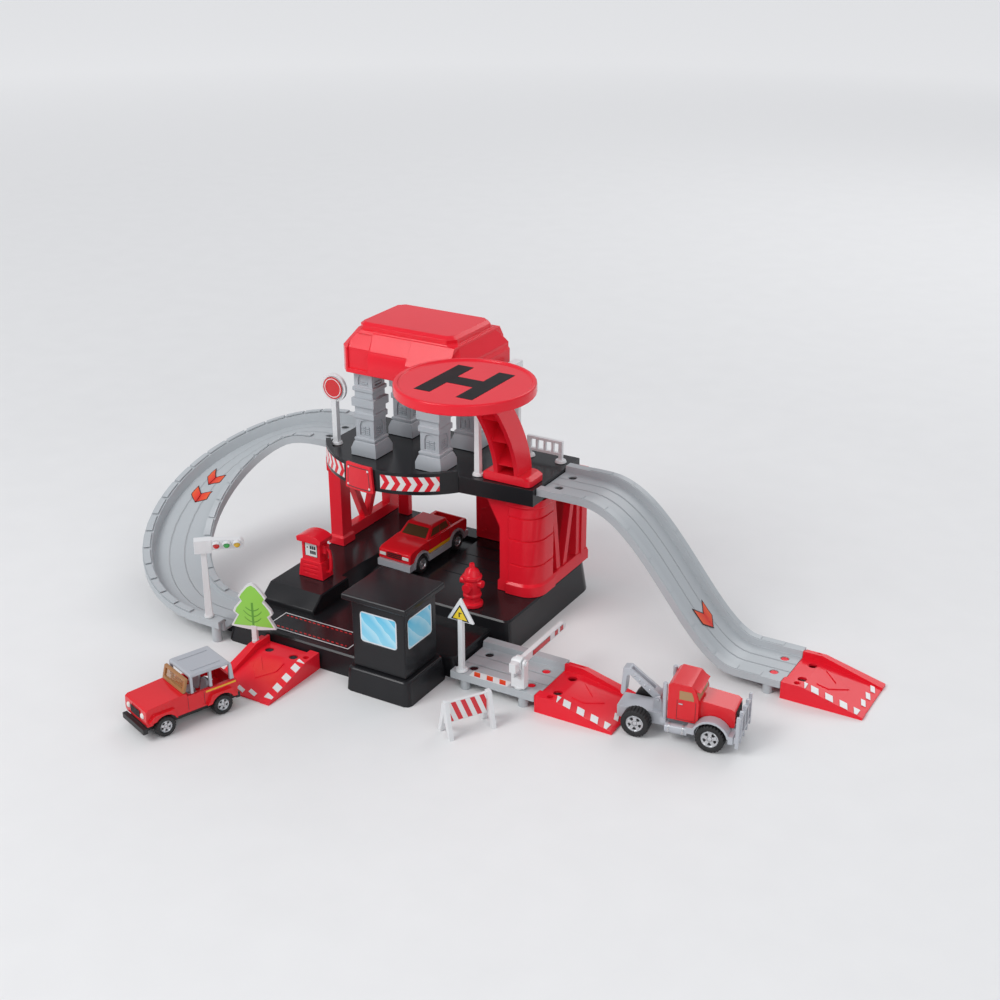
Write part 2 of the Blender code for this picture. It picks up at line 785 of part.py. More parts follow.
def base_tray():
    platform, island, apron, wing = tray_blocks()
    join(platform, island, apron, wing)
    drive = trough((DRIVE_LEFT, DRIVE_CLIMB_END), (DRIVE_RIGHT, DRIVE_END),
                   (DRIVE_FLOOR, DRIVE_FLOOR, ISLAND_TOP + 5.0), KERB_SPREAD)
    climb = trough((DRIVE_LEFT, PLATFORM_FRONT - 3.0), (DRIVE_RIGHT, DRIVE_CLIMB_END + 0.01),
                   (APRON_TOP - 0.3, DRIVE_FLOOR, ISLAND_TOP + 5.0), KERB_SPREAD)
    cut(platform, drive, climb, tray_pockets(), bay_lines())
    boss = block((-BOSS_HALF, -BOSS_HALF, 0.0), (BOSS_HALF, BOSS_HALF, APRON_TOP - TRAY_SKIN / 2))
    join(platform, boss)
    edge = GARAGE_HALF_WIDTH + TRAY_FLARE
    low = TRACK_LOW
    pieces = tongue(-edge - GAP, CURVE_Y - CURVE_RADIUS, 180.0, low, 4.0)
    pieces += tongue(FRONT_RAMP_X, APRON_FRONT - TRAY_FLARE - GAP, 270.0, low, 4.0)
    pieces += tongue(APRON_RIGHT + TRAY_FLARE + GAP, PLATE_Y, 0.0, low, 4.0)
    join(platform, *pieces)
    pins = [peg_hole(HYDRANT_X, HYDRANT_Y, PLATFORM_TOP), peg_hole(PUMP_X, PUMP_Y, ISLAND_TOP)]
    cut(platform, *pins)
    return keep(platform, "base_tray", black_plastic())


def peg_hole(x, y, top):
    """A hole for a piece's pin."""
    return cylinder((x, y), PIN_RADIUS + PEG_CLEARANCE, top - PIN_LENGTH - GAP, top + OVERRUN, sides=12)


def pin(x, y, seat):
    """A pin that reaches down from a piece's seat."""
    return cylinder((x, y), PIN_RADIUS, seat - PIN_LENGTH, seat + OVERRUN, sides=12)


# Booth


def booth_plinth():
    solid = flared((PLINTH_LEFT, PLINTH_FRONT), (PLINTH_RIGHT, PLINTH_BACK), PLINTH_CORNER,
                   PLINTH_TOP, (0.0, TRAY_FLARE, TRAY_FLARE, 0.0))
    wall = TRAY_SKIN
    middle = (PLINTH_LEFT + PLINTH_RIGHT) / 2
    pockets = [block((low, PLINTH_FRONT + wall, -OVERRUN),
                     (high, PLINTH_BACK - wall, PLINTH_TOP - wall))
               for low, high in ((PLINTH_LEFT + wall, middle - wall / 2),
                                 (middle + wall / 2, PLINTH_RIGHT - wall))]
    cut(solid, group(pockets))
    return keep(solid, "booth_plinth", black_plastic())


def booth_box():
    """The booth's outer corners in plan."""
    return ((PLINTH_LEFT + BOOTH_INSET, PLINTH_FRONT + BOOTH_INSET),
            (PLINTH_RIGHT - BOOTH_INSET, PLINTH_BACK - BOOTH_INSET))


def booth_walls():
    (left, front), (right, back) = booth_box()
    low = PLINTH_TOP + GAP
    high = low + BOOTH_HEIGHT
    shell = soften(block((left, front, low), (right, back, high)), 0.6)
    hollow = block((left + BOOTH_WALL, front + BOOTH_WALL, low - OVERRUN),
                   (right - BOOTH_WALL, back - BOOTH_WALL, high + OVERRUN))
    sill = low + WINDOW_SILL
    centre = (left + right) / 2
    front_window = prism(rounded((centre - WINDOW_WIDTH / 2, sill),
                                 (centre + WINDOW_WIDTH / 2, sill + WINDOW_HEIGHT), WINDOW_CORNER),
                         front - OVERRUN, front + WINDOW_RECESS, "Y")
    middle = (front + back) / 2
    side_window = prism(rounded((middle - WINDOW_WIDTH / 2, sill),
                                (middle + WINDOW_WIDTH / 2, sill + WINDOW_HEIGHT), WINDOW_CORNER),
                        right - WINDOW_RECESS, right + OVERRUN, "X")
    cut(shell, hollow, group([front_window, side_window]))
    return keep(shell, "booth_walls", black_plastic())


def booth_roof():
    (left, front), (right, back) = booth_box()
    low = PLINTH_TOP + 2 * GAP + BOOTH_HEIGHT
    plate = soften(block((left - BOOTH_EAVE, front - BOOTH_EAVE, low),
                         (right + BOOTH_EAVE, back + BOOTH_EAVE, low + BOOTH_ROOF_THICK)), 0.8)
    rim = BOOTH_WALL + GAP
    lug = block((left + rim, front + rim, low - 3.0), (right - rim, back - rim, low + OVERRUN))
    join(plate, lug)
    return keep(plate, "booth_roof", black_plastic())


# Walls


def strut(start, end, low, high):
    """A slanted bar in a side wall, from (y, z) to (y, z)."""
    half = STRUT_WIDTH / 2
    return prism(((start[0] - half, start[1]), (start[0] + half, start[1]),
                  (end[0] + half, end[1]), (end[0] - half, end[1])), low, high, "X")


def left_wall():
    outer = -GARAGE_HALF_WIDTH + 1.0
    inner = outer + WALL_THICK
    low = ISLAND_TOP + GAP
    high = DECK_UNDER - GAP
    frame = block((outer, WALL_FRONT, low), (inner, WALL_BACK, high))
    window = prism(((WALL_FRONT + POST_DEPTH, low + RAIL_HEIGHT),
                    (WALL_BACK - POST_DEPTH, low + RAIL_HEIGHT),
                    (WALL_BACK - POST_DEPTH, high - RAIL_HEIGHT),
                    (WALL_FRONT + POST_DEPTH, high - RAIL_HEIGHT)),
                   outer - OVERRUN, inner + OVERRUN, "X")
    cut(frame, window)
    middle = (WALL_FRONT + WALL_BACK) / 2
    bars = [strut((WALL_FRONT + POST_DEPTH + 1.0, high - 4.0), (middle, low + 4.0),
                  outer + 1.0, outer + 1.0 + STRUT_THICK),
            strut((WALL_BACK - POST_DEPTH - 1.0, high - 4.0), (middle, low + 4.0),
                  outer + 1.0, outer + 1.0 + STRUT_THICK)]
    post = post_with_foot(outer, inner + POST_PROUD, WALL_FRONT, POST_DEPTH, low, high)
    flare = prism(((inner - 1.0, high - CAPITAL_HEIGHT - 6.0),
                   (inner + POST_PROUD, high - CAPITAL_HEIGHT - 4.0),
                   (inner + 11.0, high - 3.0), (inner + 11.0, high), (inner - 1.0, high)),
                  WALL_FRONT, WALL_FRONT + POST_DEPTH, "Y")
    join(frame, *bars, post, flare)
    return keep(frame, "left_wall", red_plastic())


def post_with_foot(left, right, front, depth, low, high):
    """A square post with a wider foot and a thin ring under its capital."""
    def ring(grow):
        return ((left - grow, front - grow), (right + grow, front - grow),
                (right + grow, front + depth + grow), (left - grow, front + depth + grow))
    grow = 1.4
    return loft(((low, ring(grow)), (low + FOOT_HEIGHT - 1.5, ring(grow)), (low + FOOT_HEIGHT, ring(0.0)),
                 (high - CAPITAL_HEIGHT - 2.0, ring(0.0)), (high - CAPITAL_HEIGHT - 1.0, ring(grow / 2)),
                 (high, ring(grow / 2))), "post")


def round_tower(low, high):
    """The right wall's front tower: grooved, with one large round corner."""
    left = TOWER_LEFT + FIN_WIDTH
    right = GARAGE_HALF_WIDTH
    back = WALL_FRONT + TOWER_DEPTH

    def ring(inset):
        return rounded((left + inset, WALL_FRONT + inset), (right - inset, back - inset),
                       (2.0, TOWER_RADIUS, 2.0, 2.0))
    rings = [(low, ring(-1.4)), (low + FOOT_HEIGHT, ring(-1.4)), (low + FOOT_HEIGHT + 1.6, ring(0.0))]
    for height in TOWER_GROOVES:
        half = GROOVE_HEIGHT / 2
        rings += [(height - half, ring(0.0)), (height - half / 2, ring(GROOVE_DEPTH)),
                  (height + half / 2, ring(GROOVE_DEPTH)), (height + half, ring(0.0))]
    rings += [(high - 6.0, ring(0.0)), (high - 4.5, ring(-1.0)), (high, ring(-1.0))]
    return loft(rings, "round_tower")


def tower_fin(low, high):
    """The flat fin beside the tower, with its flared top."""
    right = TOWER_LEFT + FIN_WIDTH + 1.0
    outline = ((TOWER_LEFT - 1.6, low), (TOWER_LEFT - 1.6, low + FOOT_HEIGHT),
               (TOWER_LEFT, low + FOOT_HEIGHT + 1.6),
               (TOWER_LEFT, high - GUSSET_HEIGHT), (TOWER_LEFT - GUSSET_REACH, high - 3.0),
               (TOWER_LEFT - GUSSET_REACH, high), (right, high), (right, low))
    return prism(outline, WALL_FRONT + 1.0, WALL_FRONT + 1.0 + FIN_DEPTH, "Y")


def right_wall():
    low = PLATFORM_TOP + GAP
    high = DECK_UNDER - GAP
    outer = GARAGE_HALF_WIDTH - 0.6
    inner = outer - WALL_THICK
    tower_back = WALL_FRONT + TOWER_DEPTH
    tower = round_tower(low, high)
    rail = prism(((inner, low), (outer + 1.0, low), (outer + 1.0, low + RAIL_HEIGHT - 2.0),
                  (outer, low + RAIL_HEIGHT), (inner, low + RAIL_HEIGHT)), tower_back - 2.0, WALL_BACK, "Y")
    head = block((inner, tower_back - 2.0, high - RAIL_HEIGHT), (outer, WALL_BACK, high))
    rear = block((inner - 1.0, WALL_BACK - 16.0, low + 1.0), (outer - 0.4, WALL_BACK - 0.5, high - 1.0))
    rib = block((inner, WALL_BACK - 10.0, low + 1.0), (outer + 0.6, WALL_BACK - 6.0, high - 1.0))
    foot = tower_back + 10.0
    bars = [strut((tower_back + 1.0, high - 4.0), (foot, low + 4.0),
                  inner + 1.0, inner + 1.0 + STRUT_THICK),
            strut((WALL_BACK - 18.0, high - 4.0), (foot + 7.0, low + 4.0), inner + 1.0,
                  inner + 1.0 + STRUT_THICK)]
    join(tower, tower_fin(low, high), rail, head, rear, rib, *bars)
    return keep(tower, "right_wall", red_plastic())


def stepped_edge(x, low, high):
    """Points down a stepped edge, as on the back wall's inner side."""
    points = []
    steps = 3
    rise = (high - low) / (2 * steps)
    for step in range(steps):
        top = high - step * 2 * rise
        points += [(x, top), (x, top - rise), (x + STEP_SIZE, top - rise - STEP_SIZE / 2),
                   (x + STEP_SIZE, top - 2 * rise + STEP_SIZE / 2)]
    return points


def back_wall():
    low = PLATFORM_TOP + GAP
    island = ISLAND_TOP + GAP
    high = DECK_UNDER - GAP
    left = -GARAGE_HALF_WIDTH + 1.0 + WALL_THICK + POST_PROUD + 3.0
    right = GARAGE_HALF_WIDTH - 0.6 - WALL_THICK - 1.0 - GAP
    radius = ARCH_CORNER
    outline = [(left, island), (ARCH_LEFT, island)]
    outline += arc(ARCH_LEFT + radius, ARCH_TOP - radius, radius, 180, 90, 5)
    outline += arc(ARCH_RIGHT - radius, ARCH_TOP - radius, radius, 90, 0, 5)
    outline += [(ARCH_RIGHT, low), (right, low), (right, high), (left, high)]
    front = BACK_WALL_FRONT
    wall = prism(outline, front, front + BACK_WALL_THICK, "Y")
    panel_low = low + 6.0
    panel_high = high - 12.0
    panel = stepped_edge(ARCH_RIGHT + 5.0, panel_low, panel_high)
    panel += [(ARCH_RIGHT + 5.0, panel_low), (ARCH_RIGHT + 26.0, panel_low),
              (ARCH_RIGHT + 26.0, panel_high)]
    relief = prism(panel, front - 1.8, front + 1.0, "Y")
    grid = [block((x, front + BACK_WALL_THICK - 1.0, low + 8.0),
                  (x + 12.0, front + BACK_WALL_THICK + OVERRUN, high - 10.0))
            for x in (ARCH_RIGHT + 8.0, ARCH_RIGHT + 26.0, ARCH_RIGHT + 44.0, ARCH_RIGHT + 61.0 - 1.0)
            if x + 12.0 < right]
    join(wall, relief)
    cut(wall, group(grid))
    return keep(wall, "back_wall", red_plastic())


# Deck


def deck_outline():
    points = arc(FASCIA_X, FASCIA_Y, FASCIA_RADIUS - 0.4, FASCIA_START, FASCIA_END, 18)
    return points + [(DECK_RIGHT, DECK_FRONT), (DECK_RIGHT, DECK_BACK), (DECK_LEFT, DECK_BACK)]


def deck_pockets():
    """Hollows under the deck between its ribs."""
    top = DECK_TOP - DECK_SKIN
    low = DECK_UNDER - OVERRUN
    wide = (DECK_RIGHT - DECK_LEFT - 2 * DECK_EDGE) / DECK_COLUMNS
    front = DECK_FRONT + 2 * DECK_EDGE
    deep = (DECK_BACK - DECK_EDGE - front) / DECK_ROWS
    pockets = []
    for column in range(DECK_COLUMNS):
        for row in range(DECK_ROWS):
            x = DECK_LEFT + DECK_EDGE + column * wide
            y = front + row * deep
            pockets.append(block((x + DECK_RIB / 2, y + DECK_RIB / 2, low),
                                 (x + wide - DECK_RIB / 2, y + deep - DECK_RIB / 2, top)))
    return group(pockets + [bow_pockets(front - DECK_RIB, low, top)], "deck_pockets")


def bow_pockets(back, low, top):
    """The hollow inside the bowed front, with two ribs across it."""
    radius = FASCIA_RADIUS - FASCIA_THICK - DECK_EDGE
    reach = math.degrees(math.asin((FASCIA_Y - back) / radius))
    hollow = prism(arc(FASCIA_X, FASCIA_Y, radius, 180 + reach, 360 - reach, 12), low, top, "Z", "bow")
    ribs = []
    for side in (-1, 1):
        x = FASCIA_X + side * radius / 4
        ribs.append(block((x - DECK_RIB / 2, FASCIA_Y - radius - OVERRUN, low - OVERRUN),
                          (x + DECK_RIB / 2, back + OVERRUN, top + OVERRUN)))
    return cut(hollow, group(ribs))


def upper_deck():
    deck = prism(deck_outline(), DECK_UNDER, DECK_TOP, "Z", "deck")
    outline = band(FASCIA_X, FASCIA_Y, FASCIA_RADIUS - FASCIA_THICK, FASCIA_RADIUS, FASCIA_START,
                   FASCIA_END, 20)
    join(deck, prism(outline, DECK_UNDER, FASCIA_TOP, "Z", "fascia"))
    cut(deck, deck_pockets())
    track_left = tongue(DECK_LEFT - GAP, CURVE_Y + CURVE_RADIUS, 180.0, TRACK_HIGH, 3.0)
    track_right = tongue(DECK_RIGHT + GAP, SLOPE_Y, 0.0, TRACK_HIGH, 3.0)
    join(deck, *track_left, *track_right)
    seats = [PILLAR_FRONT_LEFT, PILLAR_FRONT_RIGHT, PILLAR_BACK_LEFT, PILLAR_BACK_RIGHT,
             (ROUND_SIGN_X, ROUND_SIGN_Y), LAMP_FRONT, LAMP_BACK, (FENCE_LEFT, FENCE_Y),
             (FENCE_RIGHT, FENCE_Y), (ARM_BASE_LEFT + ARM_PEG_INSET, ARM_FOOT_Y),
             (ARM_BASE_RIGHT - ARM_PEG_INSET, ARM_FOOT_Y)]
    cut(deck, group([peg_hole(x, y, DECK_TOP) for x, y in seats]))
    return keep(deck, "upper_deck", black_plastic())


def deck_sign():
    """The raised plate in the middle of the fascia, wider at its foot."""
    inner = FASCIA_RADIUS + GAP
    outer = inner + SIGN_THICK

    def ring(width):
        half = math.degrees(width / 2 / outer)
        return band(FASCIA_X, FASCIA_Y, inner, outer, SIGN_ANGLE - half, SIGN_ANGLE + half, 6)
    plate = loft(((SIGN_LOW, ring(SIGN_WIDTH_LOW)), (SIGN_HIGH, ring(SIGN_WIDTH_HIGH))), "sign")
    return keep(plate, "deck_sign", red_plastic())


# Pillars and roof


def pillar_profile():
    """Half widths and heights of a pillar, top to bottom, over its seat."""
    half = PILLAR_HALF
    return ((0.0, PILLAR_HEIGHT), (half, PILLAR_HEIGHT), (half, 48.4), (half + 1.0, 47.8),
            (half + 1.0, 45.4), (half, 44.8), (half, 40.8), (half + 1.7, 40.2), (half + 1.7, 34.6),
            (half + 0.2, 34.0), (half + 0.2, 30.4), (half + 1.0, 29.8), (half + 1.0, 26.2),
            (half, 25.6), (half, 12.6), (half + 1.0, 12.0), (half + 1.0, 10.4), (half + 0.4, 9.8),
            (half + 1.2, 9.4), (half + 2.8, 5.0), (half + 2.8, 0.0), (0.0, 0.0))


def arch_outline(centre, low, high):
    """A tall panel with a round top."""
    half = RELIEF_WIDTH / 2
    return [(centre - half, low), (centre + half, low)] + arc(centre, high - half, half, 0, 180, 4)


def roof_pillar(name, spot):
    seat = DECK_TOP + GAP
    x, y = spot
    profile = [(width * math.sqrt(2), seat + height) for width, height in pillar_profile()]
    shaft = turned(profile, spot, 4, 45.0, name)
    near = PILLAR_HALF - RELIEF_DEPTH
    far = PILLAR_HALF + OVERRUN
    panels = []
    for low, high in ((14.0, 25.0), (49.4, 57.4)):
        across = arch_outline(x, seat + low, seat + high)
        along = arch_outline(y, seat + low, seat + high)
        panels += [prism(across, y - far, y - near, "Y"), prism(across, y + near, y + far, "Y"),
                   prism(along, x - far, x - near, "X"), prism(along, x + near, x + far, "X")]
    cut(shaft, group(panels))
    join(shaft, pin(x, y, seat))
    return keep(shaft, name, grey_plastic())


def chamfered(left, front, right, back, corner):
    """A rectangle with straight cut corners."""
    return ((left + corner, front), (right - corner, front), (right, front + corner),
            (right, back - corner), (right - corner, back), (left + corner, back),
            (left, back - corner), (left, front + corner))


def roof_rings(left, front, right, back, under):
    """Rings of the roof's band, slope and cap."""
    band = under + ROOF_BAND
    eave = band + ROOF_SLOPE_RISE
    run = ROOF_SLOPE_RUN
    return ((under, chamfered(left, front, right, back, ROOF_CORNER)),
            (band, chamfered(left, front, right, back, ROOF_CORNER)),
            (eave, chamfered(left + run, front + run, right - run, back - run, ROOF_CORNER)))


def roof_panel(left, right, proud, under):
    """A panel proud of the roof's front and back; its slope starts below the band's top."""
    low = under + ROOF_PANEL_LIFT
    band = under + ROOF_BAND - ROOF_PANEL_DROP
    top = under + ROOF_BAND + ROOF_SLOPE_RISE - 1.0
    inset = ROOF_SLOPE_RUN - 1.5
    outline = ((ROOF_FRONT - proud, low), (ROOF_FRONT - proud, band), (ROOF_FRONT + inset, top),
               (ROOF_BACK - inset, top), (ROOF_BACK + proud, band), (ROOF_BACK + proud, low))
    return prism(outline, left, right, "X")


def roof_facets(right, proud, under):
    """Wedges that take the last panel's end corners back to the band."""
    wedges = []
    high = under + ROOF_BAND + ROOF_SLOPE_RISE
    for edge, out in ((ROOF_FRONT, -1.0), (ROOF_BACK, 1.0)):
        far = edge + out * (proud + OVERRUN)
        near = edge - out * ROOF_FIELD
        outline = ((right - ROOF_FACET, edge + out * proud), (right - ROOF_FACET, far),
                   (right + OVERRUN, far), (right + OVERRUN, near), (right, near))
        wedges.append(prism(outline, under - OVERRUN, high))
    return group(wedges)


def roof_fields(left, right, under):
    """The sunk fields at the left of the first step, on the front and the back."""
    fields = []
    band = under + ROOF_BAND
    share = 0.8
    for edge, out in ((ROOF_FRONT, -1.0), (ROOF_BACK, 1.0)):
        near = edge - out * ROOF_FIELD
        inner = near - out * share * ROOF_SLOPE_RUN
        top = band + share * ROOF_SLOPE_RISE
        outline = ((edge + out * OVERRUN, under + 3.0), (near, under + 3.0), (near, band),
                   (inner, top), (edge + out * OVERRUN, top))
        fields.append(prism(outline, left, right, "X"))
    return group(fields)


def end_panel(front, back, right, under):
    """The low panel on the roof's right end."""
    proud = ROOF_PANEL_PROUD
    band = under + ROOF_BAND - ROOF_PANEL_DROP
    outline = ((right - 12.0, under + 2.0), (right + proud, under + 2.0), (right + proud, band),
               (right - 4.0, band + 7.0), (right - 12.0, band + 7.0))
    return prism(outline, front, back, "Y")


def roof_hollows(under):
    """The inside of the roof between the pillar seats."""
    edge = ROOF_WALL + 2.0
    top = under + ROOF_BAND + ROOF_SLOPE_RISE - ROOF_WALL - 1.0
    left = PILLAR_FRONT_LEFT[0] + 10.0
    right = PILLAR_FRONT_RIGHT[0] - 10.0
    middle = (ROOF_FRONT + ROOF_BACK) / 2
    spans = ((left, right, ROOF_FRONT + edge + 3.0, middle - 1.2),
             (left, right, middle + 1.2, ROOF_BACK - edge - 3.0),
             (ROOF_LEFT + edge + 3.0, left - 2.4, middle - 11.0, middle + 11.0),
             (right + 2.4, ROOF_RIGHT - edge - 3.0, middle - 11.0, middle + 11.0))
    return group([block((x0, y0, under - OVERRUN), (x1, y1, top)) for x0, x1, y0, y1 in spans])


def roof():
    under = DECK_TOP + PILLAR_HEIGHT + 2 * GAP
    shell = loft(roof_rings(ROOF_LEFT, ROOF_FRONT, ROOF_RIGHT, ROOF_BACK, under), "roof")
    eave = under + ROOF_BAND + ROOF_SLOPE_RISE
    inset = ROOF_SLOPE_RUN + 1.0
    low = chamfered(ROOF_LEFT + inset, ROOF_FRONT + inset, ROOF_RIGHT - inset, ROOF_BACK - inset,
                    ROOF_CORNER)
    brim = inset + 2.4
    top = chamfered(ROOF_LEFT + brim, ROOF_FRONT + brim, ROOF_RIGHT - brim, ROOF_BACK - brim,
                    ROOF_CORNER - 1.0)
    cap = loft(((eave - 1.0, low), (eave + ROOF_CAP_RISE - 2.0, low), (eave + ROOF_CAP_RISE, top)), "cap")
    first, second, last = ROOF_STEPS
    middle = roof_panel(first, second, ROOF_PANEL_PROUD, under)
    bay = roof_panel(second, last, 2 * ROOF_PANEL_PROUD, under)
    cut(bay, roof_facets(last, 2 * ROOF_PANEL_PROUD, under))
    end = end_panel(ROOF_FRONT + 30.0, ROOF_BACK - ROOF_CORNER - 1.0, ROOF_RIGHT, under)
    cut(shell, roof_fields(ROOF_LEFT + ROOF_CORNER + 1.5, first + 1.0, under))
    join(shell, cap, middle, bay, end)
    cut(shell, roof_hollows(under))
    return keep(shell, "roof", red_plastic())


# Helipad


def arm_centre(share):
    """The arm's middle line: (y, z) at a share of its height."""
    top = PAD_UNDER + PAD_THICK - PAD_LIP - PAD_SKIN - GAP
    return (ARM_FOOT_Y - ARM_REACH * min(share / ARM_STRAIGHT_TOP, 1.0) ** ARM_BEND,
            ARM_FOOT_TOP + (top - ARM_FOOT_TOP) * share)


def arm_band(front, back):
    """An outline that follows the arm between two offsets from its middle line."""
    shares = [step / ARM_STEPS for step in range(ARM_STEPS + 1)]
    near = [(arm_centre(share)[0] + front, arm_centre(share)[1]) for share in shares]
    far = [(arm_centre(share)[0] + back, arm_centre(share)[1]) for share in shares]
    return near + list(reversed(far))


def arm_ribs():
    """Wedge-shaped ribs that stand in the arm's channel, open to the front."""
    ribs = []
    half = ARM_DEPTH / 2
    for index in range(ARM_RIBS):
        low_y, low_z = arm_centre((index + 0.35) / ARM_RIBS)
        high_y, high_z = arm_centre((index + 0.95) / ARM_RIBS)
        outline = ((low_y - half + 0.6, low_z), (low_y + half - 1.0, low_z),
                   (high_y + half - 1.0, high_z))
        ribs.append(prism(outline, ARM_LEFT + 1.0, ARM_RIGHT - 1.0, "X"))
    return ribs


def helipad_arm():
    half = ARM_DEPTH / 2
    arm = prism(arm_band(-half, half), ARM_LEFT, ARM_RIGHT, "X", "arm")
    channel = prism(arm_band(-half - 5.0, half - ARM_WALL), ARM_LEFT + ARM_WALL, ARM_RIGHT - ARM_WALL,
                    "X", "channel")
    top = arm_centre(1.0)[1]
    seat = DECK_TOP + GAP
    foot = loft(((seat, rounded((ARM_BASE_LEFT, ARM_FOOT_Y - ARM_BASE_HALF),
                                (ARM_BASE_RIGHT, ARM_FOOT_Y + ARM_BASE_HALF), 3.0)),
                 (seat + 4.0, rounded((ARM_BASE_LEFT, ARM_FOOT_Y - ARM_BASE_HALF),
                                      (ARM_BASE_RIGHT, ARM_FOOT_Y + ARM_BASE_HALF), 3.0)),
                 (ARM_FOOT_TOP + 0.5, rounded((ARM_BASE_LEFT + 3.0, ARM_FOOT_Y - ARM_BASE_HALF + 0.4),
                                              (ARM_BASE_RIGHT - 3.0, ARM_FOOT_Y + ARM_BASE_HALF - 0.4),
                                              3.0))), "foot")
    pad_y = arm_centre(1.0)[0]
    cap = block((ARM_LEFT, pad_y - half, top - 3.0), (ARM_RIGHT, pad_y + half, top))
    cut(arm, channel)
    join(arm, *arm_ribs(), foot, cap, pin(ARM_BASE_LEFT + ARM_PEG_INSET, ARM_FOOT_Y, seat),
         pin(ARM_BASE_RIGHT - ARM_PEG_INSET, ARM_FOOT_Y, seat))
    return keep(arm, "helipad_arm", red_plastic())


def helipad_disc():
    top = PAD_UNDER + PAD_THICK
    floor = top - PAD_LIP
    profile = ((0.0, floor), (PAD_RADIUS - PAD_RIM - 0.6, floor), (PAD_RADIUS - PAD_RIM, top),
               (PAD_RADIUS - 0.8, top), (PAD_RADIUS, top - 0.8), (PAD_RADIUS, PAD_UNDER + 0.6),
               (PAD_RADIUS - 0.6, PAD_UNDER), (PAD_RADIUS - PAD_RIM, PAD_UNDER),
               (PAD_RADIUS - PAD_RIM, floor - PAD_SKIN), (0.0, floor - PAD_SKIN))
    disc = turned(profile, (PAD_X, PAD_Y), PAD_SIDES, 0.0, "disc")
    pad_y = arm_centre(1.0)[0]
    half = ARM_DEPTH / 2 + GAP
    outer = block((ARM_LEFT - GAP - SOCKET_WALL, pad_y - half - SOCKET_WALL, PAD_UNDER + 1.0),
                  (ARM_RIGHT + GAP + SOCKET_WALL, pad_y + half + SOCKET_WALL, floor - PAD_SKIN / 2))
    inner = block((ARM_LEFT - GAP, pad_y - half, PAD_UNDER - OVERRUN),
                  (ARM_RIGHT + GAP, pad_y + half, floor - PAD_SKIN))
    join(disc, cut(outer, inner))
    return keep(disc, "helipad_disc", red_plastic())


# Tracks


def track_section(left_wall_height):
    """The track's cross section: channel, kerbs, flanges and skirts; x points right."""
    half = TRACK_CHANNEL / 2
    edge = half + TRACK_FLANGE
    skin = TRACK_SKIN
    kerb = TRACK_KERB
    wall = left_wall_height
    return ((edge, kerb - TRACK_SKIRT), (edge, kerb), (half + 0.8, kerb), (half, 0.0), (-half, 0.0),
            (-half - 0.8, wall), (-edge, wall), (-edge, wall - TRACK_SKIRT),
            (-edge + skin, wall - TRACK_SKIRT), (-edge + skin, wall - skin),
            (-half - skin - 0.8, wall - skin), (-half - skin, -skin), (half + skin, -skin),
            (half + skin + 0.4, kerb - skin), (edge - skin, kerb - skin), (edge - skin, kerb - TRACK_SKIRT))


def ease(share):
    """Smooth step from 0 to 1."""
    share = min(max(share, 0.0), 1.0)
    return share * share * (3.0 - 2.0 * share)


def curve_path():
    """Middle line of the falling U-turn, from the deck round to the apron."""
    start = DECK_LEFT - GAP
    end = -GARAGE_HALF_WIDTH - TRAY_FLARE - GAP
    first = start - CURVE_X
    bend = math.pi * CURVE_RADIUS
    total = first + bend + end - CURVE_X
    points = []
    for share in [0.0] + [step / CURVE_STEPS for step in range(1, CURVE_STEPS)] + [1.0]:
        run = share * total
        angle = min(max((run - first) / CURVE_RADIUS, 0.0), math.pi)
        x = CURVE_X - CURVE_RADIUS * math.sin(angle)
        x += max(first - run, 0.0) + max(run - first - bend, 0.0)
        y = CURVE_Y + CURVE_RADIUS * math.cos(angle)
        fall = ease((run - CURVE_LEVEL_HIGH) / (total - CURVE_LEVEL_HIGH - CURVE_LEVEL_LOW))
        points.append((x, y, TRACK_HIGH - (TRACK_HIGH - TRACK_LOW) * fall))
    return points


def slope_path():
    """Middle line of the S-shaped slope."""
    start = DECK_RIGHT + GAP
    settle = SLOPE_LEAD / 4
    points = [(start, SLOPE_Y, TRACK_HIGH), (SLOPE_START - settle, SLOPE_Y, TRACK_HIGH)]
    for step in range(SLOPE_STEPS + 1):
        share = step / SLOPE_STEPS
        x = SLOPE_START + (SLOPE_END - SLOPE_START) * share
        fall = ease(share ** SLOPE_EASE)
        points.append((x, SLOPE_Y, TRACK_HIGH - (TRACK_HIGH - TRACK_LOW) * fall))
    points += [(SLOPE_END + settle, SLOPE_Y, TRACK_LOW), (SLOPE_TRACK_END, SLOPE_Y, TRACK_LOW)]
    return points


def track_feet(x, y, turn, wall_height):
    """Feet under a low end's flanges."""
    reach = TRACK_CHANNEL / 2 + TRACK_FLANGE / 2
    feet = []
    for side, height in ((-1, TRACK_KERB), (1, wall_height)):
        centre = heading((HOLE_SETBACK, side * reach), x, y, turn)
        feet.append(cylinder(centre, FOOT_RADIUS, 0.0, TRACK_LOW + height - TRACK_SKIN / 2, sides=12))
    return feet


def curve_feet(low):
    """Feet under the U-turn's low end: the outer one is taller."""
    x, y, turn = low
    reach = TRACK_CHANNEL / 2 + TRACK_FLANGE / 2
    feet = []
    for side, height in ((-1, TRACK_KERB), (1, TRACK_OUTER_WALL)):
        centre = heading((HOLE_SETBACK - 4.0, side * reach), x, y, turn)
        feet.append(cylinder(centre, FOOT_RADIUS, 0.0, TRACK_LOW + height - TRACK_SKIN / 2, sides=12))
    return feet


def left_curve_track():
    path = curve_path()
    track = swept(track_section(TRACK_OUTER_WALL), list(reversed(path)), "curve")
    return finish_curve(track)


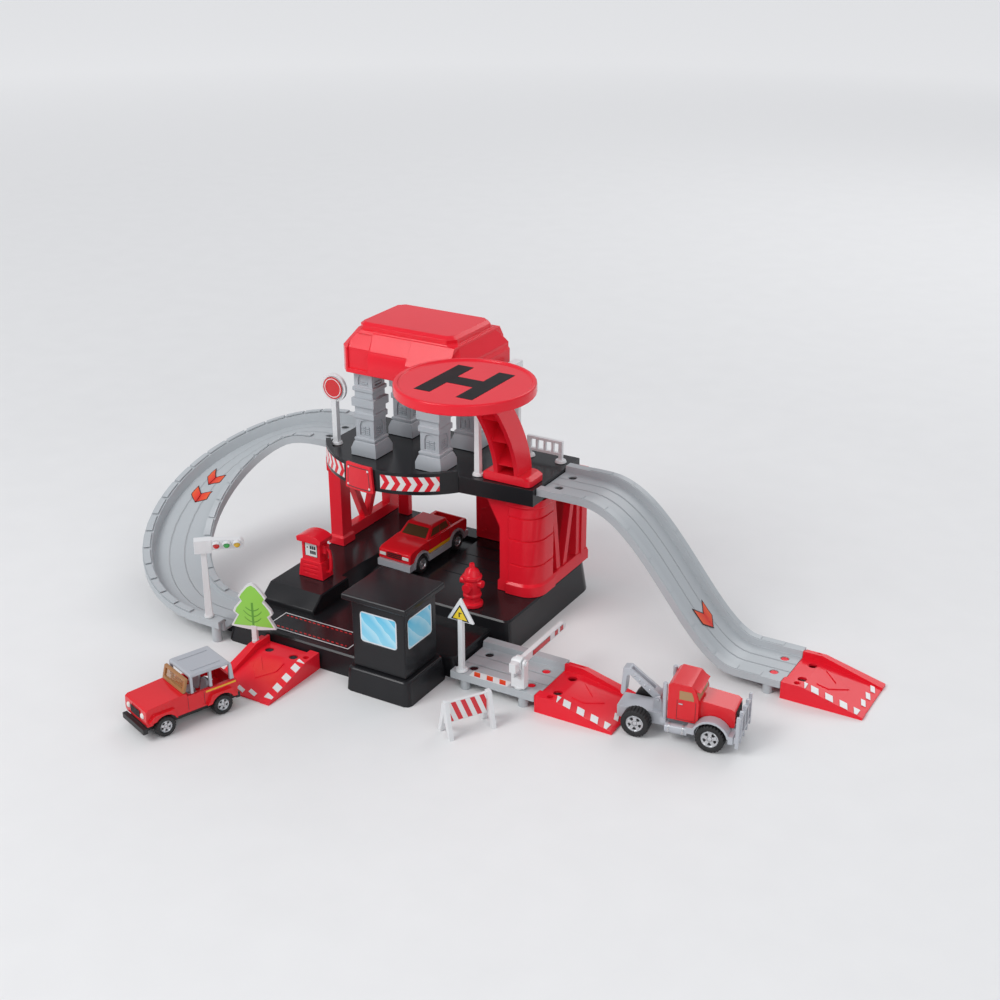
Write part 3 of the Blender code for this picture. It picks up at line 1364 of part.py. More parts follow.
def finish_curve(track):
    """Holes, feet and the traffic light's socket on the U-turn."""
    high = (DECK_LEFT - GAP, CURVE_Y + CURVE_RADIUS, 180.0)
    low = (-GARAGE_HALF_WIDTH - TRAY_FLARE - GAP, CURVE_Y - CURVE_RADIUS, 180.0)
    holes = joint_holes(*high, TRACK_HIGH) + joint_holes(*low, TRACK_LOW)
    outer = CURVE_Y - CURVE_RADIUS - TRACK_CHANNEL / 2 - TRACK_FLANGE / 2
    holes.append(peg_hole(TRAFFIC_X, outer, TRACK_LOW + TRACK_OUTER_WALL))
    join(track, *curve_feet(low))
    cut(track, group(holes))
    return keep(track, "left_curve_track", grey_plastic())


def right_slope_track():
    track = swept(track_section(TRACK_KERB + 1.5), slope_path(), "slope")
    high = (DECK_RIGHT + GAP, SLOPE_Y, 0.0)
    low = (SLOPE_TRACK_END, SLOPE_Y, 180.0)
    join(track, *track_feet(*low, TRACK_KERB))
    cut(track, group(joint_holes(*high, TRACK_HIGH) + joint_holes(*low, TRACK_LOW)))
    return keep(track, "right_slope_track", grey_plastic())


def exit_plate():
    left = APRON_RIGHT + TRAY_FLARE + GAP
    right = left + PLATE_LENGTH
    path = [(left, PLATE_Y, TRACK_LOW), (right, PLATE_Y, TRACK_LOW)]
    plate = swept(track_section(TRACK_KERB + 1.5), path, "plate")
    first = (left, PLATE_Y, 0.0)
    second = (right, PLATE_Y, 180.0)
    join(plate, *track_feet(*first, TRACK_KERB), *track_feet(*second, TRACK_KERB))
    flange = PLATE_Y - TRACK_CHANNEL / 2 - TRACK_FLANGE / 2
    sockets = [peg_hole(x, flange, TRACK_LOW + TRACK_KERB) for x in (TRIANGLE_X, BARRIER_X)]
    cut(plate, group(joint_holes(*first, TRACK_LOW) + joint_holes(*second, TRACK_LOW) + sockets))
    return keep(plate, "exit_plate", grey_plastic())


def ramp_side(low, high, lift):
    """Side profile of a ramp's flange, (along, height)."""
    return ((0.0, 0.0), (RAMP_LENGTH, 0.0), (RAMP_LENGTH, RAMP_TIP + lift * 0.2),
            (RAMP_LEVEL, TRACK_LOW + lift), (0.0, TRACK_LOW + lift)), low, high


def ramp(name, x, y, turn, mirrored):
    """A ramp that falls from a track's end to the ground, with a striped flange and a low wall."""
    half = TRACK_CHANNEL / 2
    edge = half + TRACK_FLANGE
    side = -1.0 if mirrored else 1.0

    def bar(first, second, lift):
        outline, low, high = ramp_side(min(first, second), max(first, second), lift)
        return prism(outline, low, high, "Y")
    tip = RAMP_LENGTH - 0.2
    floor = prism(((0.0, TRACK_LOW - TRACK_SKIN), (0.0, TRACK_LOW), (RAMP_LEVEL, TRACK_LOW),
                   (tip, RAMP_TIP), (tip, 0.2), (tip - 5.0, 0.2),
                   (RAMP_LEVEL, TRACK_LOW - TRACK_SKIN)), -half - 1.0, half + 1.0, "Y")
    flange = bar(-side * half, -side * edge, TRACK_KERB)
    wall = bar(side * half, side * (half + TRACK_SKIN), RAMP_WALL)
    curb = bar(side * (half + 0.5), side * edge, TRACK_KERB)
    join(floor, flange, curb, wall)
    chevron = chevron_relief()
    join(floor, chevron)
    holes = [cylinder((HOLE_SETBACK, spread), HOLE_RADIUS, TRACK_LOW - 2 * TRACK_SKIN,
                      TRACK_LOW + OVERRUN) for spread in (-HOLE_SPREAD, HOLE_SPREAD)]
    holes.append(cylinder((HOLE_SETBACK, -side * (half + TRACK_FLANGE / 2)), PIN_RADIUS + PEG_CLEARANCE,
                          TRACK_LOW - OVERRUN, TRACK_LOW + TRACK_KERB + OVERRUN, sides=12))
    holes.append(cylinder((HOLE_SETBACK, side * far_socket()), PIN_RADIUS + PEG_CLEARANCE,
                          TRACK_LOW - OVERRUN, TRACK_LOW + TRACK_KERB + OVERRUN, sides=12))
    cut(floor, group(holes))
    solid = group([floor], name)
    place(solid, x, y, 0.0, turn)
    return keep(solid, name, red_plastic())


def chevron_relief():
    """A raised arrow on the ramp's slope."""
    slope = (RAMP_TIP - TRACK_LOW) / (RAMP_LENGTH - RAMP_LEVEL)
    rise = 0.6

    def height(along):
        return TRACK_LOW + slope * (along - RAMP_LEVEL)
    arrow = ((18.0, -9.0), (26.0, -9.0), (36.0, 0.0), (26.0, 9.0), (18.0, 9.0), (28.0, 0.0))
    solid = prism(arrow, 0.0, 1.0)
    for vert in solid.data.vertices:
        along = vert.co.x / MM
        lift = rise if vert.co.z > 0.5 * MM else -0.6
        vert.co.z = (height(along) + lift) * MM
    return solid


def ramps():
    """The three red ramps, at the front, at the exit and at the slope's end."""
    front_y = APRON_FRONT - TRAY_FLARE - GAP
    ramp("front_ramp", FRONT_RAMP_X, front_y, 270.0, True)
    plate_end = APRON_RIGHT + TRAY_FLARE + GAP + PLATE_LENGTH
    exit_ramp = ramp("exit_ramp", plate_end + GAP, PLATE_Y, 0.0, False)
    end_ramp = ramp("right_end_ramp", SLOPE_TRACK_END + GAP, SLOPE_Y, 0.0, False)
    for piece, end, y in ((exit_ramp, plate_end, PLATE_Y), (end_ramp, SLOPE_TRACK_END, SLOPE_Y)):
        join(piece, *tongue(end, y, 180.0, TRACK_LOW, 4.0),
             tongue_root(end, y, 180.0, TRACK_LOW, GAP + 0.2, 3.5))


# Street furniture


def base_disc(x, y, seat):
    """The round foot and pin that every small post has."""
    foot = cylinder((x, y), BASE_RADIUS, seat, seat + BASE_HEIGHT, sides=20, top_radius=BASE_RADIUS - 0.6)
    return join(foot, pin(x, y, seat))


def square(half):
    """A square outline round the origin."""
    return [(-half, -half), (half, -half), (half, half), (-half, half)]


def square_post(x, y, low, high, half=POST_HALF):
    return block((x - half, y - half, low), (x + half, y + half, high))


def round_sign():
    seat = DECK_TOP + GAP
    x, y = ROUND_SIGN_X, ROUND_SIGN_Y
    sign = base_disc(x, y, seat)
    half = SIGN_BOARD / 2
    board = cylinder((x, ROUND_SIGN_CENTRE), ROUND_SIGN_RADIUS, y - half, y + half, "Y", 32)
    dish = cylinder((x, ROUND_SIGN_CENTRE), ROUND_SIGN_RADIUS - 2.0, y - half - OVERRUN, y - half + 0.5,
                    "Y", 32)
    post = square_post(x, y, seat + 1.0, ROUND_SIGN_CENTRE - ROUND_SIGN_RADIUS + 2.0, 1.9)
    join(sign, post, cut(board, dish))
    set_origin(sign, x, y, seat)
    return keep(sign, "round_sign", white_plastic())


def lamp_post(name, spot, turn):
    """A tapered post with a head that reaches out to one side, its lamps facing forward."""
    seat = DECK_TOP + GAP
    lamp = base_disc(0.0, 0.0, seat)
    post = loft(((seat + 1.0, square(2.0)), (LAMP_TOP - 2.0, square(1.5))), "post")
    low = LAMP_TOP - LAMP_HEAD_HEIGHT
    head = prism(((-LAMP_REACH, low + 1.0), (-LAMP_REACH + 1.0, low), (LAMP_TAIL, low),
                  (LAMP_TAIL, LAMP_TOP - 1.0), (LAMP_TAIL - 1.0, LAMP_TOP),
                  (-LAMP_REACH + 1.0, LAMP_TOP), (-LAMP_REACH, LAMP_TOP - 1.0)),
                 -LAMP_HALF, LAMP_HALF, "Y")
    lenses = [cylinder((shift, low + LAMP_HEAD_HEIGHT / 2), 2.0, -LAMP_HALF - 0.8, -LAMP_HALF + 1.0,
                       "Y", 12) for shift in (-LAMP_REACH + 3.5, -LAMP_REACH / 2 + 1.0)]
    join(lamp, post, head, *lenses)
    solid = group([lamp], name)
    x, y = spot
    place(solid, x, y, 0.0, turn)
    set_origin(solid, x, y, seat)
    return keep(solid, name, white_plastic())


def deck_fence():
    seat = DECK_TOP + GAP
    fence = base_disc(FENCE_LEFT, FENCE_Y, seat)
    other = base_disc(FENCE_RIGHT, FENCE_Y, seat)
    rails = [block((FENCE_LEFT - 1.4, FENCE_Y - 1.2, low), (FENCE_RIGHT + 1.4, FENCE_Y + 1.2, low + 1.8))
             for low in (seat + 4.5, FENCE_TOP - 1.8)]
    bars = []
    pitch = (FENCE_RIGHT - FENCE_LEFT) / FENCE_BARS
    for index in range(FENCE_BARS + 1):
        x = FENCE_LEFT + index * pitch
        low = seat + 1.0 if index in (0, FENCE_BARS) else seat + 5.0
        half = 1.4 if index in (0, FENCE_BARS) else 0.8
        bars.append(block((x - half, FENCE_Y - 1.0, low), (x + half, FENCE_Y + 1.0, FENCE_TOP - 1.0)))
    join(fence, other, *rails, *bars)
    return keep(fence, "deck_fence", white_plastic())


def triangle_sign():
    seat = TRACK_LOW + TRACK_KERB + GAP
    x = TRIANGLE_X
    y = PLATE_Y - TRACK_CHANNEL / 2 - TRACK_FLANGE / 2
    sign = base_disc(x, y, seat)
    low = TRIANGLE_TOP - TRIANGLE_HEAD
    half = TRIANGLE_HEAD * 0.6
    board = soften(prism(((x - half, low), (x + half, low), (x, TRIANGLE_TOP)), y - 1.1, y + 1.1, "Y"), 0.5)
    post = square_post(x, y, seat + 1.0, low + 1.5, 1.6)
    join(sign, post, board)
    set_origin(sign, x, y, seat)
    return keep(sign, "triangle_sign", white_plastic())


def barrier_place():
    """Where the barrier's post stands on the exit plate's flange."""
    return BARRIER_X, PLATE_Y - TRACK_CHANNEL / 2 - TRACK_FLANGE / 2


def barrier_post():
    x, y = barrier_place()
    seat = TRACK_LOW + TRACK_KERB + GAP
    post = cylinder((x, y), FOOT_RADIUS + 0.2, seat, seat + BASE_HEIGHT, sides=16)
    gap = BARRIER_HUB_HALF + GAP
    shaft = block((x - gap - BARRIER_EAR, y - 2.6, seat + 0.8),
                  (x + gap + BARRIER_EAR, y + 2.6, BARRIER_PIVOT - BARRIER_TAIL - 1.2))
    ears = []
    for side in (-1, 1):
        first = x + side * gap
        second = x + side * (gap + BARRIER_EAR)
        low, high = min(first, second), max(first, second)
        outline = [(y - 2.6, seat + 5.0), (y + 2.6, seat + 5.0)]
        outline += arc(y, BARRIER_PIVOT, 2.6, 0, 180, 8)
        ears.append(prism(outline, low, high, "X"))
    join(post, shaft, *ears, pin(x, y, seat))
    bore = cylinder((y, BARRIER_PIVOT), BARRIER_PIN + PIN_CLEARANCE, x - 10.0, x + 10.0, "X", 16)
    cut(post, bore)
    return keep(post, "barrier_post", white_plastic())


def barrier_arm():
    x, y = barrier_place()
    half = BARRIER_ARM_THICK / 2
    wide = BARRIER_HUB_HALF
    hub = cylinder((y, BARRIER_PIVOT), BARRIER_HUB, x - wide, x + wide, "X", 24)
    reach = y + BARRIER_ARM_LENGTH
    tall = BARRIER_ARM_HEIGHT / 2
    bar = prism([(y, BARRIER_PIVOT - tall)] + [(reach - tall, BARRIER_PIVOT - tall)]
                + arc(reach - tall, BARRIER_PIVOT, tall, -60, 60, 4)
                + [(reach - tall, BARRIER_PIVOT + tall), (y, BARRIER_PIVOT + tall)],
                x - half, x + half, "X")
    tail = block((x - wide + 0.2, y - BARRIER_TAIL, BARRIER_PIVOT - tall - 0.5),
                 (x + wide - 0.2, y - BARRIER_HUB - 0.4, BARRIER_PIVOT + tall + 0.5))
    neck = block((x - half, y - 5.5, BARRIER_PIVOT - 1.8), (x + half, y, BARRIER_PIVOT + 1.8))
    ends = wide + GAP + BARRIER_EAR + 0.8
    pivot = cylinder((y, BARRIER_PIVOT), BARRIER_PIN, x - ends, x + ends, "X", 16)
    join(hub, bar, tail, neck, pivot)
    set_origin(hub, x, y, BARRIER_PIVOT)
    return keep(hub, "barrier_arm", white_plastic())


def barricade():
    """The free-standing striped board on two splayed legs."""
    half = BARRICADE_LENGTH / 2
    board = block((-half, -1.0, BARRICADE_HEIGHT - 14.0), (half, 1.0, BARRICADE_HEIGHT))
    legs = []
    for side in (-1, 1):
        outline = ((-BARRICADE_SPLAY - 1.6, 0.0), (-BARRICADE_SPLAY + 1.6, 0.0), (0.0, 14.0),
                   (BARRICADE_SPLAY - 1.6, 0.0), (BARRICADE_SPLAY + 1.6, 0.0),
                   (1.8, BARRICADE_HEIGHT + 0.6), (-1.8, BARRICADE_HEIGHT + 0.6))
        x = side * (half - 1.0)
        legs.append(prism(outline, x - 1.4, x + 1.4, "X"))
    join(board, *legs)
    solid = group([board], "barricade")
    place(solid, BARRICADE_X, BARRICADE_Y, 0.0, BARRICADE_TURN)
    return keep(solid, "barricade", white_plastic())


def pump_body():
    """The pump's stepped body with its arched top, front to -Y."""
    half = PUMP_WIDTH / 2
    low = ISLAND_TOP + GAP
    front = PUMP_Y - PUMP_DEPTH / 2
    back = PUMP_Y + PUMP_DEPTH / 2
    foot = rectangle(PUMP_X - half, front, PUMP_X + half, back)
    waist = rectangle(PUMP_X - half + 1.4, front + 0.8, PUMP_X + half - 1.4, back - 0.8)
    skirt = loft(((low, foot), (low + 12.0, waist)), "skirt")
    case = block((PUMP_X - half + 2.6, front + 1.6, low + 11.0),
                 (PUMP_X + half - 2.6, back - 1.6, low + 28.0))
    crown = [(PUMP_X - half + 0.4, low + 26.0), (PUMP_X + half - 0.4, low + 26.0)]
    crown += arc(PUMP_X, low + 13.0, 19.0, 58, 122, 8)
    cap = prism(crown, front - 0.8, back + 0.8, "Y")
    return join(skirt, case, cap)


def fuel_pump():
    low = ISLAND_TOP + GAP
    front = PUMP_Y - PUMP_DEPTH / 2
    right = PUMP_X + PUMP_WIDTH / 2
    pump = pump_body()
    display = block((PUMP_X - 5.2, front - OVERRUN, low + 15.0), (PUMP_X + 5.2, front + 2.2, low + 25.0))
    slots = [block((PUMP_X - 6.0, front - OVERRUN, low + height),
                   (PUMP_X + 6.0, front + 1.2, low + height + 1.0))
             for height in (3.0, 6.0, 9.0)]
    hose = tube(((right - 3.5, PUMP_Y, low + 21.0), (right - 0.5, PUMP_Y, low + 22.0),
                 (right + 2.2, PUMP_Y, low + 20.0), (right + 3.0, PUMP_Y, low + 15.0),
                 (right + 3.0, PUMP_Y, low + 8.0), (right + 2.0, PUMP_Y, low + 5.0),
                 (right - 1.0, PUMP_Y, low + 4.0), (right - 3.0, PUMP_Y, low + 4.0)), 1.3, "hose")
    nozzle = block((right - 3.5, PUMP_Y - 2.2, low + 18.5), (right + 0.6, PUMP_Y + 2.2, low + 24.5))
    cut(pump, group([display] + slots))
    join(pump, nozzle, hose, pin(PUMP_X, PUMP_Y, low))
    return keep(pump, "fuel_pump", red_plastic())


def hydrant():
    low = PLATFORM_TOP + GAP
    top = low + HYDRANT_HEIGHT
    profile = ((0.0, top), (1.6, top), (2.0, top - 2.2), (2.0, top - 3.0), (4.2, top - 4.6),
               (5.6, top - 8.0), (6.6, top - 8.6), (6.6, top - 10.6), (5.4, top - 11.4), (5.4, low + 9.0),
               (6.2, low + 8.4), (6.2, low + 6.8), (5.4, low + 6.2), (5.4, low + 3.0), (7.2, low + 2.2),
               (7.2, low), (0.0, low))
    body = turned(profile, (HYDRANT_X, HYDRANT_Y), HYDRANT_SIDES, 0.0, "hydrant")
    height = top - 13.5
    arms = cylinder((HYDRANT_Y, height), 2.6, HYDRANT_X - 8.2, HYDRANT_X + 8.2, "X", 12)
    spout = cylinder((HYDRANT_X, height - 2.0), 3.2, HYDRANT_Y - 8.0, HYDRANT_Y, "Y", 12)
    join(body, arms, spout, pin(HYDRANT_X, HYDRANT_Y, low))
    return keep(body, "hydrant", red_plastic())


def traffic_light():
    """A post on the U-turn's low flange, with a side arm and three hooded lamps."""
    x = TRAFFIC_X
    y = CURVE_Y - CURVE_RADIUS - TRACK_CHANNEL / 2 - TRACK_FLANGE / 2
    seat = TRACK_LOW + TRACK_OUTER_WALL + GAP
    light = cylinder((0.0, 0.0), FOOT_RADIUS, seat, seat + BASE_HEIGHT, sides=16)
    post = loft(((seat + 1.0, square(2.4)), (TRAFFIC_TOP - 4.0, square(1.7))), "post")
    head = block((-5.5, -3.0, TRAFFIC_TOP - 9.0), (5.5, 3.0, TRAFFIC_TOP))
    arm = prism([(4.0, TRAFFIC_TOP - 7.0), (TRAFFIC_ARM - 3.0, TRAFFIC_TOP - 7.0)]
                + arc(TRAFFIC_ARM - 3.0, TRAFFIC_TOP - 4.0, 3.0, -60, 90, 5) + [(4.0, TRAFFIC_TOP)],
                -2.6, 2.6, "Y")
    pitch = 2.6 * TRAFFIC_LAMP
    lamps = [cylinder((TRAFFIC_ARM - TRAFFIC_LAMP - 2.0 - index * pitch, TRAFFIC_TOP - 3.8), TRAFFIC_LAMP,
                      -3.8, -2.0, "Y", 14) for index in range(3)]
    join(light, post, head, arm, *lamps, pin(0.0, 0.0, seat))
    solid = group([light], "traffic_light")
    place(solid, x, y, 0.0, TRAFFIC_TURN)
    set_origin(solid, x, y, seat)
    return keep(solid, "traffic_light", white_plastic())


def tree_outline():
    """Half of a fir's outline, base to tip, mirrored to a full one."""
    half = TREE_WIDTH / 2
    base = TREE_TOP - TREE_BOARD_HEIGHT
    right = ((half * 0.25, base), (half, base + 1.5), (half * 0.9, base + 4.5), (half * 0.7, base + 9.5),
             (half * 0.88, base + 12.0), (half * 0.80, base + 15.0), (half * 0.5, base + 20.5),
             (half * 0.62, base + 23.0), (half * 0.5, base + 26.0),
             (half * 0.2, TREE_TOP - 1.6), (0.0, TREE_TOP))
    left = [(-x, z) for x, z in reversed(right[:-1])]
    return list(right) + left


def far_socket():
    """How far from a ramp's middle the socket on its walled side lies."""
    return TRACK_CHANNEL / 2 + (TRACK_SKIN + TRACK_FLANGE) / 2


def tree_place():
    """The ramp's far flange, where the tree's post plugs in."""
    y = APRON_FRONT - TRAY_FLARE - GAP - HOLE_SETBACK
    return FRONT_RAMP_X - far_socket(), y


def tree_sign():
    x, y = tree_place()
    seat = TRACK_LOW + TRACK_KERB + GAP
    tree = cylinder((0.0, 0.0), TREE_FOOT_RADIUS, seat, seat + BASE_HEIGHT, sides=16)
    post = square_post(0.0, 0.0, seat + 1.0, TREE_TOP - TREE_BOARD_HEIGHT + 3.0, 1.6)
    board = prism(tree_outline(), -1.2, 1.2, "Y")
    join(tree, post, board, pin(0.0, 0.0, seat))
    solid = group([tree], "tree_sign")
    place(solid, x, y, 0.0, TREE_TURN)
    set_origin(solid, x, y, seat)
    return keep(solid, "tree_sign", green_board())


# Vehicles, each built about its own middle with its nose to +X and its wheels on z 0


def park(obj, name, spot):
    """Move a vehicle's piece from its own frame to where the vehicle stands."""
    solid = group([obj], name)
    x, y, z, turn = spot
    return place(solid, x, y, z, turn)


def wheel(x, radius, width, inner, side):
    """One wheel with a sunk hub, outer face outwards."""
    rim = radius * RIM_SHARE
    profile = ((0.0, width - TYRE_EDGE), (rim - 0.8, width - 2 * TYRE_EDGE), (rim, width),
               (radius - TYRE_EDGE, width), (radius, width - TYRE_EDGE), (radius, TYRE_EDGE),
               (radius - TYRE_EDGE, 0.0), (0.0, 0.0))
    made = group([turned(profile, (0.0, 0.0), TYRE_SIDES)])
    tip = Matrix.Rotation(math.radians(-90.0 * side), 4, "X")
    made.data.transform(Matrix.Translation((x * MM, side * inner * MM, radius * MM)) @ tip)
    return made


def axle(name, spot, x, radius, width, outer):
    """A rod with a wheel at each end, which turns in the chassis."""
    inner = outer - width
    rod = cylinder((x, radius), AXLE_RADIUS, -inner - OVERRUN, inner + OVERRUN, "Y")
    join(rod, wheel(x, radius, width, inner, 1), wheel(x, radius, width, inner, -1))
    solid = park(rod, name, spot)
    centre = heading((x, 0.0), spot[0], spot[1], spot[3])
    set_origin(solid, *centre, spot[2] + radius)
    return keep(solid, name, tyre_plastic())


def axle_bores(wheelbase, radius, half):
    """Holes for both axles through a chassis."""
    return group([cylinder((side * wheelbase / 2, radius), AXLE_RADIUS + PIN_CLEARANCE, -half - OVERRUN,
                           half + OVERRUN, "Y") for side in (-1, 1)])


def wheel_arches(wheelbase, tyre, inner, half, clearance):
    """Room for the wheels, cut from both sides of a body."""
    cutters = []
    for x in (-wheelbase / 2, wheelbase / 2):
        for low, high in ((-half - OVERRUN, -inner), (inner, half + OVERRUN)):
            cutters.append(cylinder((x, tyre), tyre + clearance, low, high, "Y", 18))
    return group(cutters)


def open_car_chassis():
    half = OPEN_CAR_WIDE / 2 - OPEN_CAR_TYRE_WIDTH - 0.6
    end = OPEN_CAR_LONG / 2
    plate = block((-end, -half, OPEN_CAR_TYRE - 2.2), (end, half, OPEN_CAR_FLOOR))
    bumpers = [block((end - 1.0, -13.0, OPEN_CAR_TYRE - 1.2), (end + 2.0, 13.0, OPEN_CAR_FLOOR - 0.2)),
               block((-end - 1.6, -11.0, OPEN_CAR_TYRE - 1.2), (-end + 1.0, 11.0, OPEN_CAR_FLOOR - 0.4))]
    join(plate, *bumpers)
    cut(plate, axle_bores(OPEN_CAR_WHEELBASE, OPEN_CAR_TYRE, half))
    return keep(park(plate, "open_car_chassis", OPEN_CAR_PLACE), "open_car_chassis", tyre_plastic())


def open_car_fender(x, front):
    """A flat fender over a wheel, whose front end bends down."""
    reach = OPEN_CAR_TYRE + ARCH_CLEARANCE
    top = OPEN_CAR_TYRE * 2 + ARCH_CLEARANCE + 1.6
    low = OPEN_CAR_FLOOR + 2 * GAP
    return ((x - reach - 2.4 * (1 - front), low), (x - reach + 1.4, top), (x + reach - 1.4, top),
            (x + reach + 2.4, low + 2.6 * front), (x + reach, low + 2.0 * front), (x, low + 3.0),
            (x - reach, low))


def open_car_body():
    low = OPEN_CAR_FLOOR + GAP
    end = OPEN_CAR_LONG / 2
    half = OPEN_CAR_WIDE / 2 - 2.0
    outline = ((-end + 1.0, low), (end - 1.0, low), (end - 0.4, low + 3.0),
               (end - 0.8, OPEN_CAR_BELT - 0.6), (end - 2.6, OPEN_CAR_BELT + 0.6),
               (6.0, OPEN_CAR_HOOD), (3.6, OPEN_CAR_HOOD), (3.2, OPEN_CAR_BELT),
               (-end + 1.6, OPEN_CAR_BELT), (-end + 0.6, OPEN_CAR_BELT - 2.0))
    body = prism(outline, -half, half, "Y")
    arches = [open_car_fender(side * OPEN_CAR_WHEELBASE / 2, (side + 1) / 2) for side in (-1, 1)]
    fenders = [prism(arch, -half - 1.8, half + 1.8, "Y") for arch in arches]
    tub = block((-end + 3.2, -half + OPEN_CAR_WALL, low + OPEN_CAR_WALL),
                (1.0, half - OPEN_CAR_WALL, OPEN_CAR_TOP))
    join(body, *fenders)
    inner = OPEN_CAR_WIDE / 2 - OPEN_CAR_TYRE_WIDTH - 1.0
    cut(body, tub, wheel_arches(OPEN_CAR_WHEELBASE, OPEN_CAR_TYRE, inner, half + 2.0, ARCH_CLEARANCE))
    return keep(park(body, "open_car_body", OPEN_CAR_PLACE), "open_car_body", red_paint())


def open_car_windscreen():
    """The slanted tan frame on the cowl."""
    low = OPEN_CAR_HOOD + GAP
    half = OPEN_CAR_WIDE / 2 - 2.4
    top = OPEN_CAR_TOP - 2.0
    frame = prism(((3.9, low), (5.8, low), (3.4, top), (1.5, top)), -half, half, "Y")
    pane = block((-1.0, -half + 2.0, low + 1.8), (8.0, half - 2.0, top - 1.6))
    cut(frame, pane)
    return keep(park(frame, "open_car_windscreen", OPEN_CAR_PLACE), "open_car_windscreen", tan_plastic())


def open_car_cage():
    """The roll cage and its roof, standing on the tub's rim."""
    low = OPEN_CAR_BELT + GAP
    half = OPEN_CAR_WIDE / 2 - 2.4
    back = -OPEN_CAR_LONG / 2 + 2.4
    front = 0.4
    bar = 1.9
    cage = prism(((back, low), (front, low), (front, OPEN_CAR_TOP - 0.8), (front - 1.0, OPEN_CAR_TOP),
                  (back + 3.0, OPEN_CAR_TOP), (back + 1.0, OPEN_CAR_TOP - 2.4)), -half, half, "Y")
    middle = (back + front) / 2 + 1.0
    sides = [block((start, -half - OVERRUN, low - OVERRUN), (end, half + OVERRUN, OPEN_CAR_TOP - 2.2))
             for start, end in ((back + bar + 1.0, middle - bar / 2), (middle + bar / 2, front - bar))]
    through = block((back - OVERRUN, -half + bar, low - OVERRUN),
                    (front + OVERRUN, half - bar, OPEN_CAR_TOP - 2.2))
    cut(cage, *sides, through)
    return keep(park(cage, "open_car_cage", OPEN_CAR_PLACE), "open_car_cage", silver_plastic())


def open_car():
    open_car_chassis()
    open_car_body()
    open_car_windscreen()
    open_car_cage()
    half = OPEN_CAR_WHEELBASE / 2
    axle("open_car_front_axle", OPEN_CAR_PLACE, half, OPEN_CAR_TYRE, OPEN_CAR_TYRE_WIDTH, OPEN_CAR_WIDE / 2)
    axle("open_car_rear_axle", OPEN_CAR_PLACE, -half, OPEN_CAR_TYRE, OPEN_CAR_TYRE_WIDTH, OPEN_CAR_WIDE / 2)


def truck_frame():
    """Rails, bumper, fenders, running boards and the boom's bracket."""
    inner = TRUCK_WIDE / 2 - TRUCK_TYRE_WIDTH
    half = inner - 1.2
    end = TRUCK_LONG / 2
    outer = TRUCK_WIDE / 2 - 0.8
    front = TRUCK_WHEELBASE / 2
    low = TRUCK_TYRE - 2.4
    rails = block((-end, -half, low), (end, half, TRUCK_FLOOR))
    bumper = block((end - 3.0, -outer, TRUCK_TYRE - 0.6), (end, outer, TRUCK_TYRE + 4.4))
    step = block((front - TRUCK_TYRE - 5.4, -outer, TRUCK_TYRE + 0.8),
                 (front - TRUCK_TYRE - 0.6, outer, TRUCK_FLOOR - 0.3))
    radius = TRUCK_TYRE + ARCH_CLEARANCE
    arch = band(front, TRUCK_TYRE, radius, radius + FLARE_THICK, 12, 158, 10)
    fenders = [prism(arch, start, stop, "Y") for start, stop in ((-outer, -inner), (inner, outer))]
    return join(rails, bumper, step, *fenders), half


def truck_chassis():
    frame, half = truck_frame()
    x, z = BOOM_PIVOT
    gap = BOOM_HALF + GAP
    ears = []
    for low, high in ((-gap - BOOM_EAR, -gap), (gap, gap + BOOM_EAR)):
        ears.append(prism([(x - 3.0, TRUCK_FLOOR - 1.0), (x + 3.0, TRUCK_FLOOR - 1.0)]
                          + arc(x, z, 2.4, 0, 180, 6), low, high, "Y"))
    stacks = [cylinder((-6.4, side * (TRUCK_WIDE / 2 - 6.6)), 1.4, TRUCK_FLOOR - 2.0, TRUCK_TOP - 1.0)
              for side in (-1, 1)]
    shelf = block((-8.2, -TRUCK_WIDE / 2 + 4.4, TRUCK_FLOOR - 3.0),
                  (-4.9, TRUCK_WIDE / 2 - 4.4, TRUCK_FLOOR))
    tanks = [cylinder((side * (TRUCK_WIDE / 2 - 4.4), TRUCK_TYRE + 0.4), 3.0, -4.9, 8.6, "X")
             for side in (-1, 1)]
    join(frame, *ears, *stacks, shelf, *tanks)
    cut(frame, axle_bores(TRUCK_WHEELBASE, TRUCK_TYRE, half), boom_bore())
    return keep(park(frame, "truck_chassis", TRUCK_PLACE), "truck_chassis", silver_plastic())


def boom_bore():
    reach = BOOM_HALF + BOOM_EAR + 2.0
    return cylinder(BOOM_PIVOT, BOOM_PIN + PIN_CLEARANCE, -reach, reach, "Y")


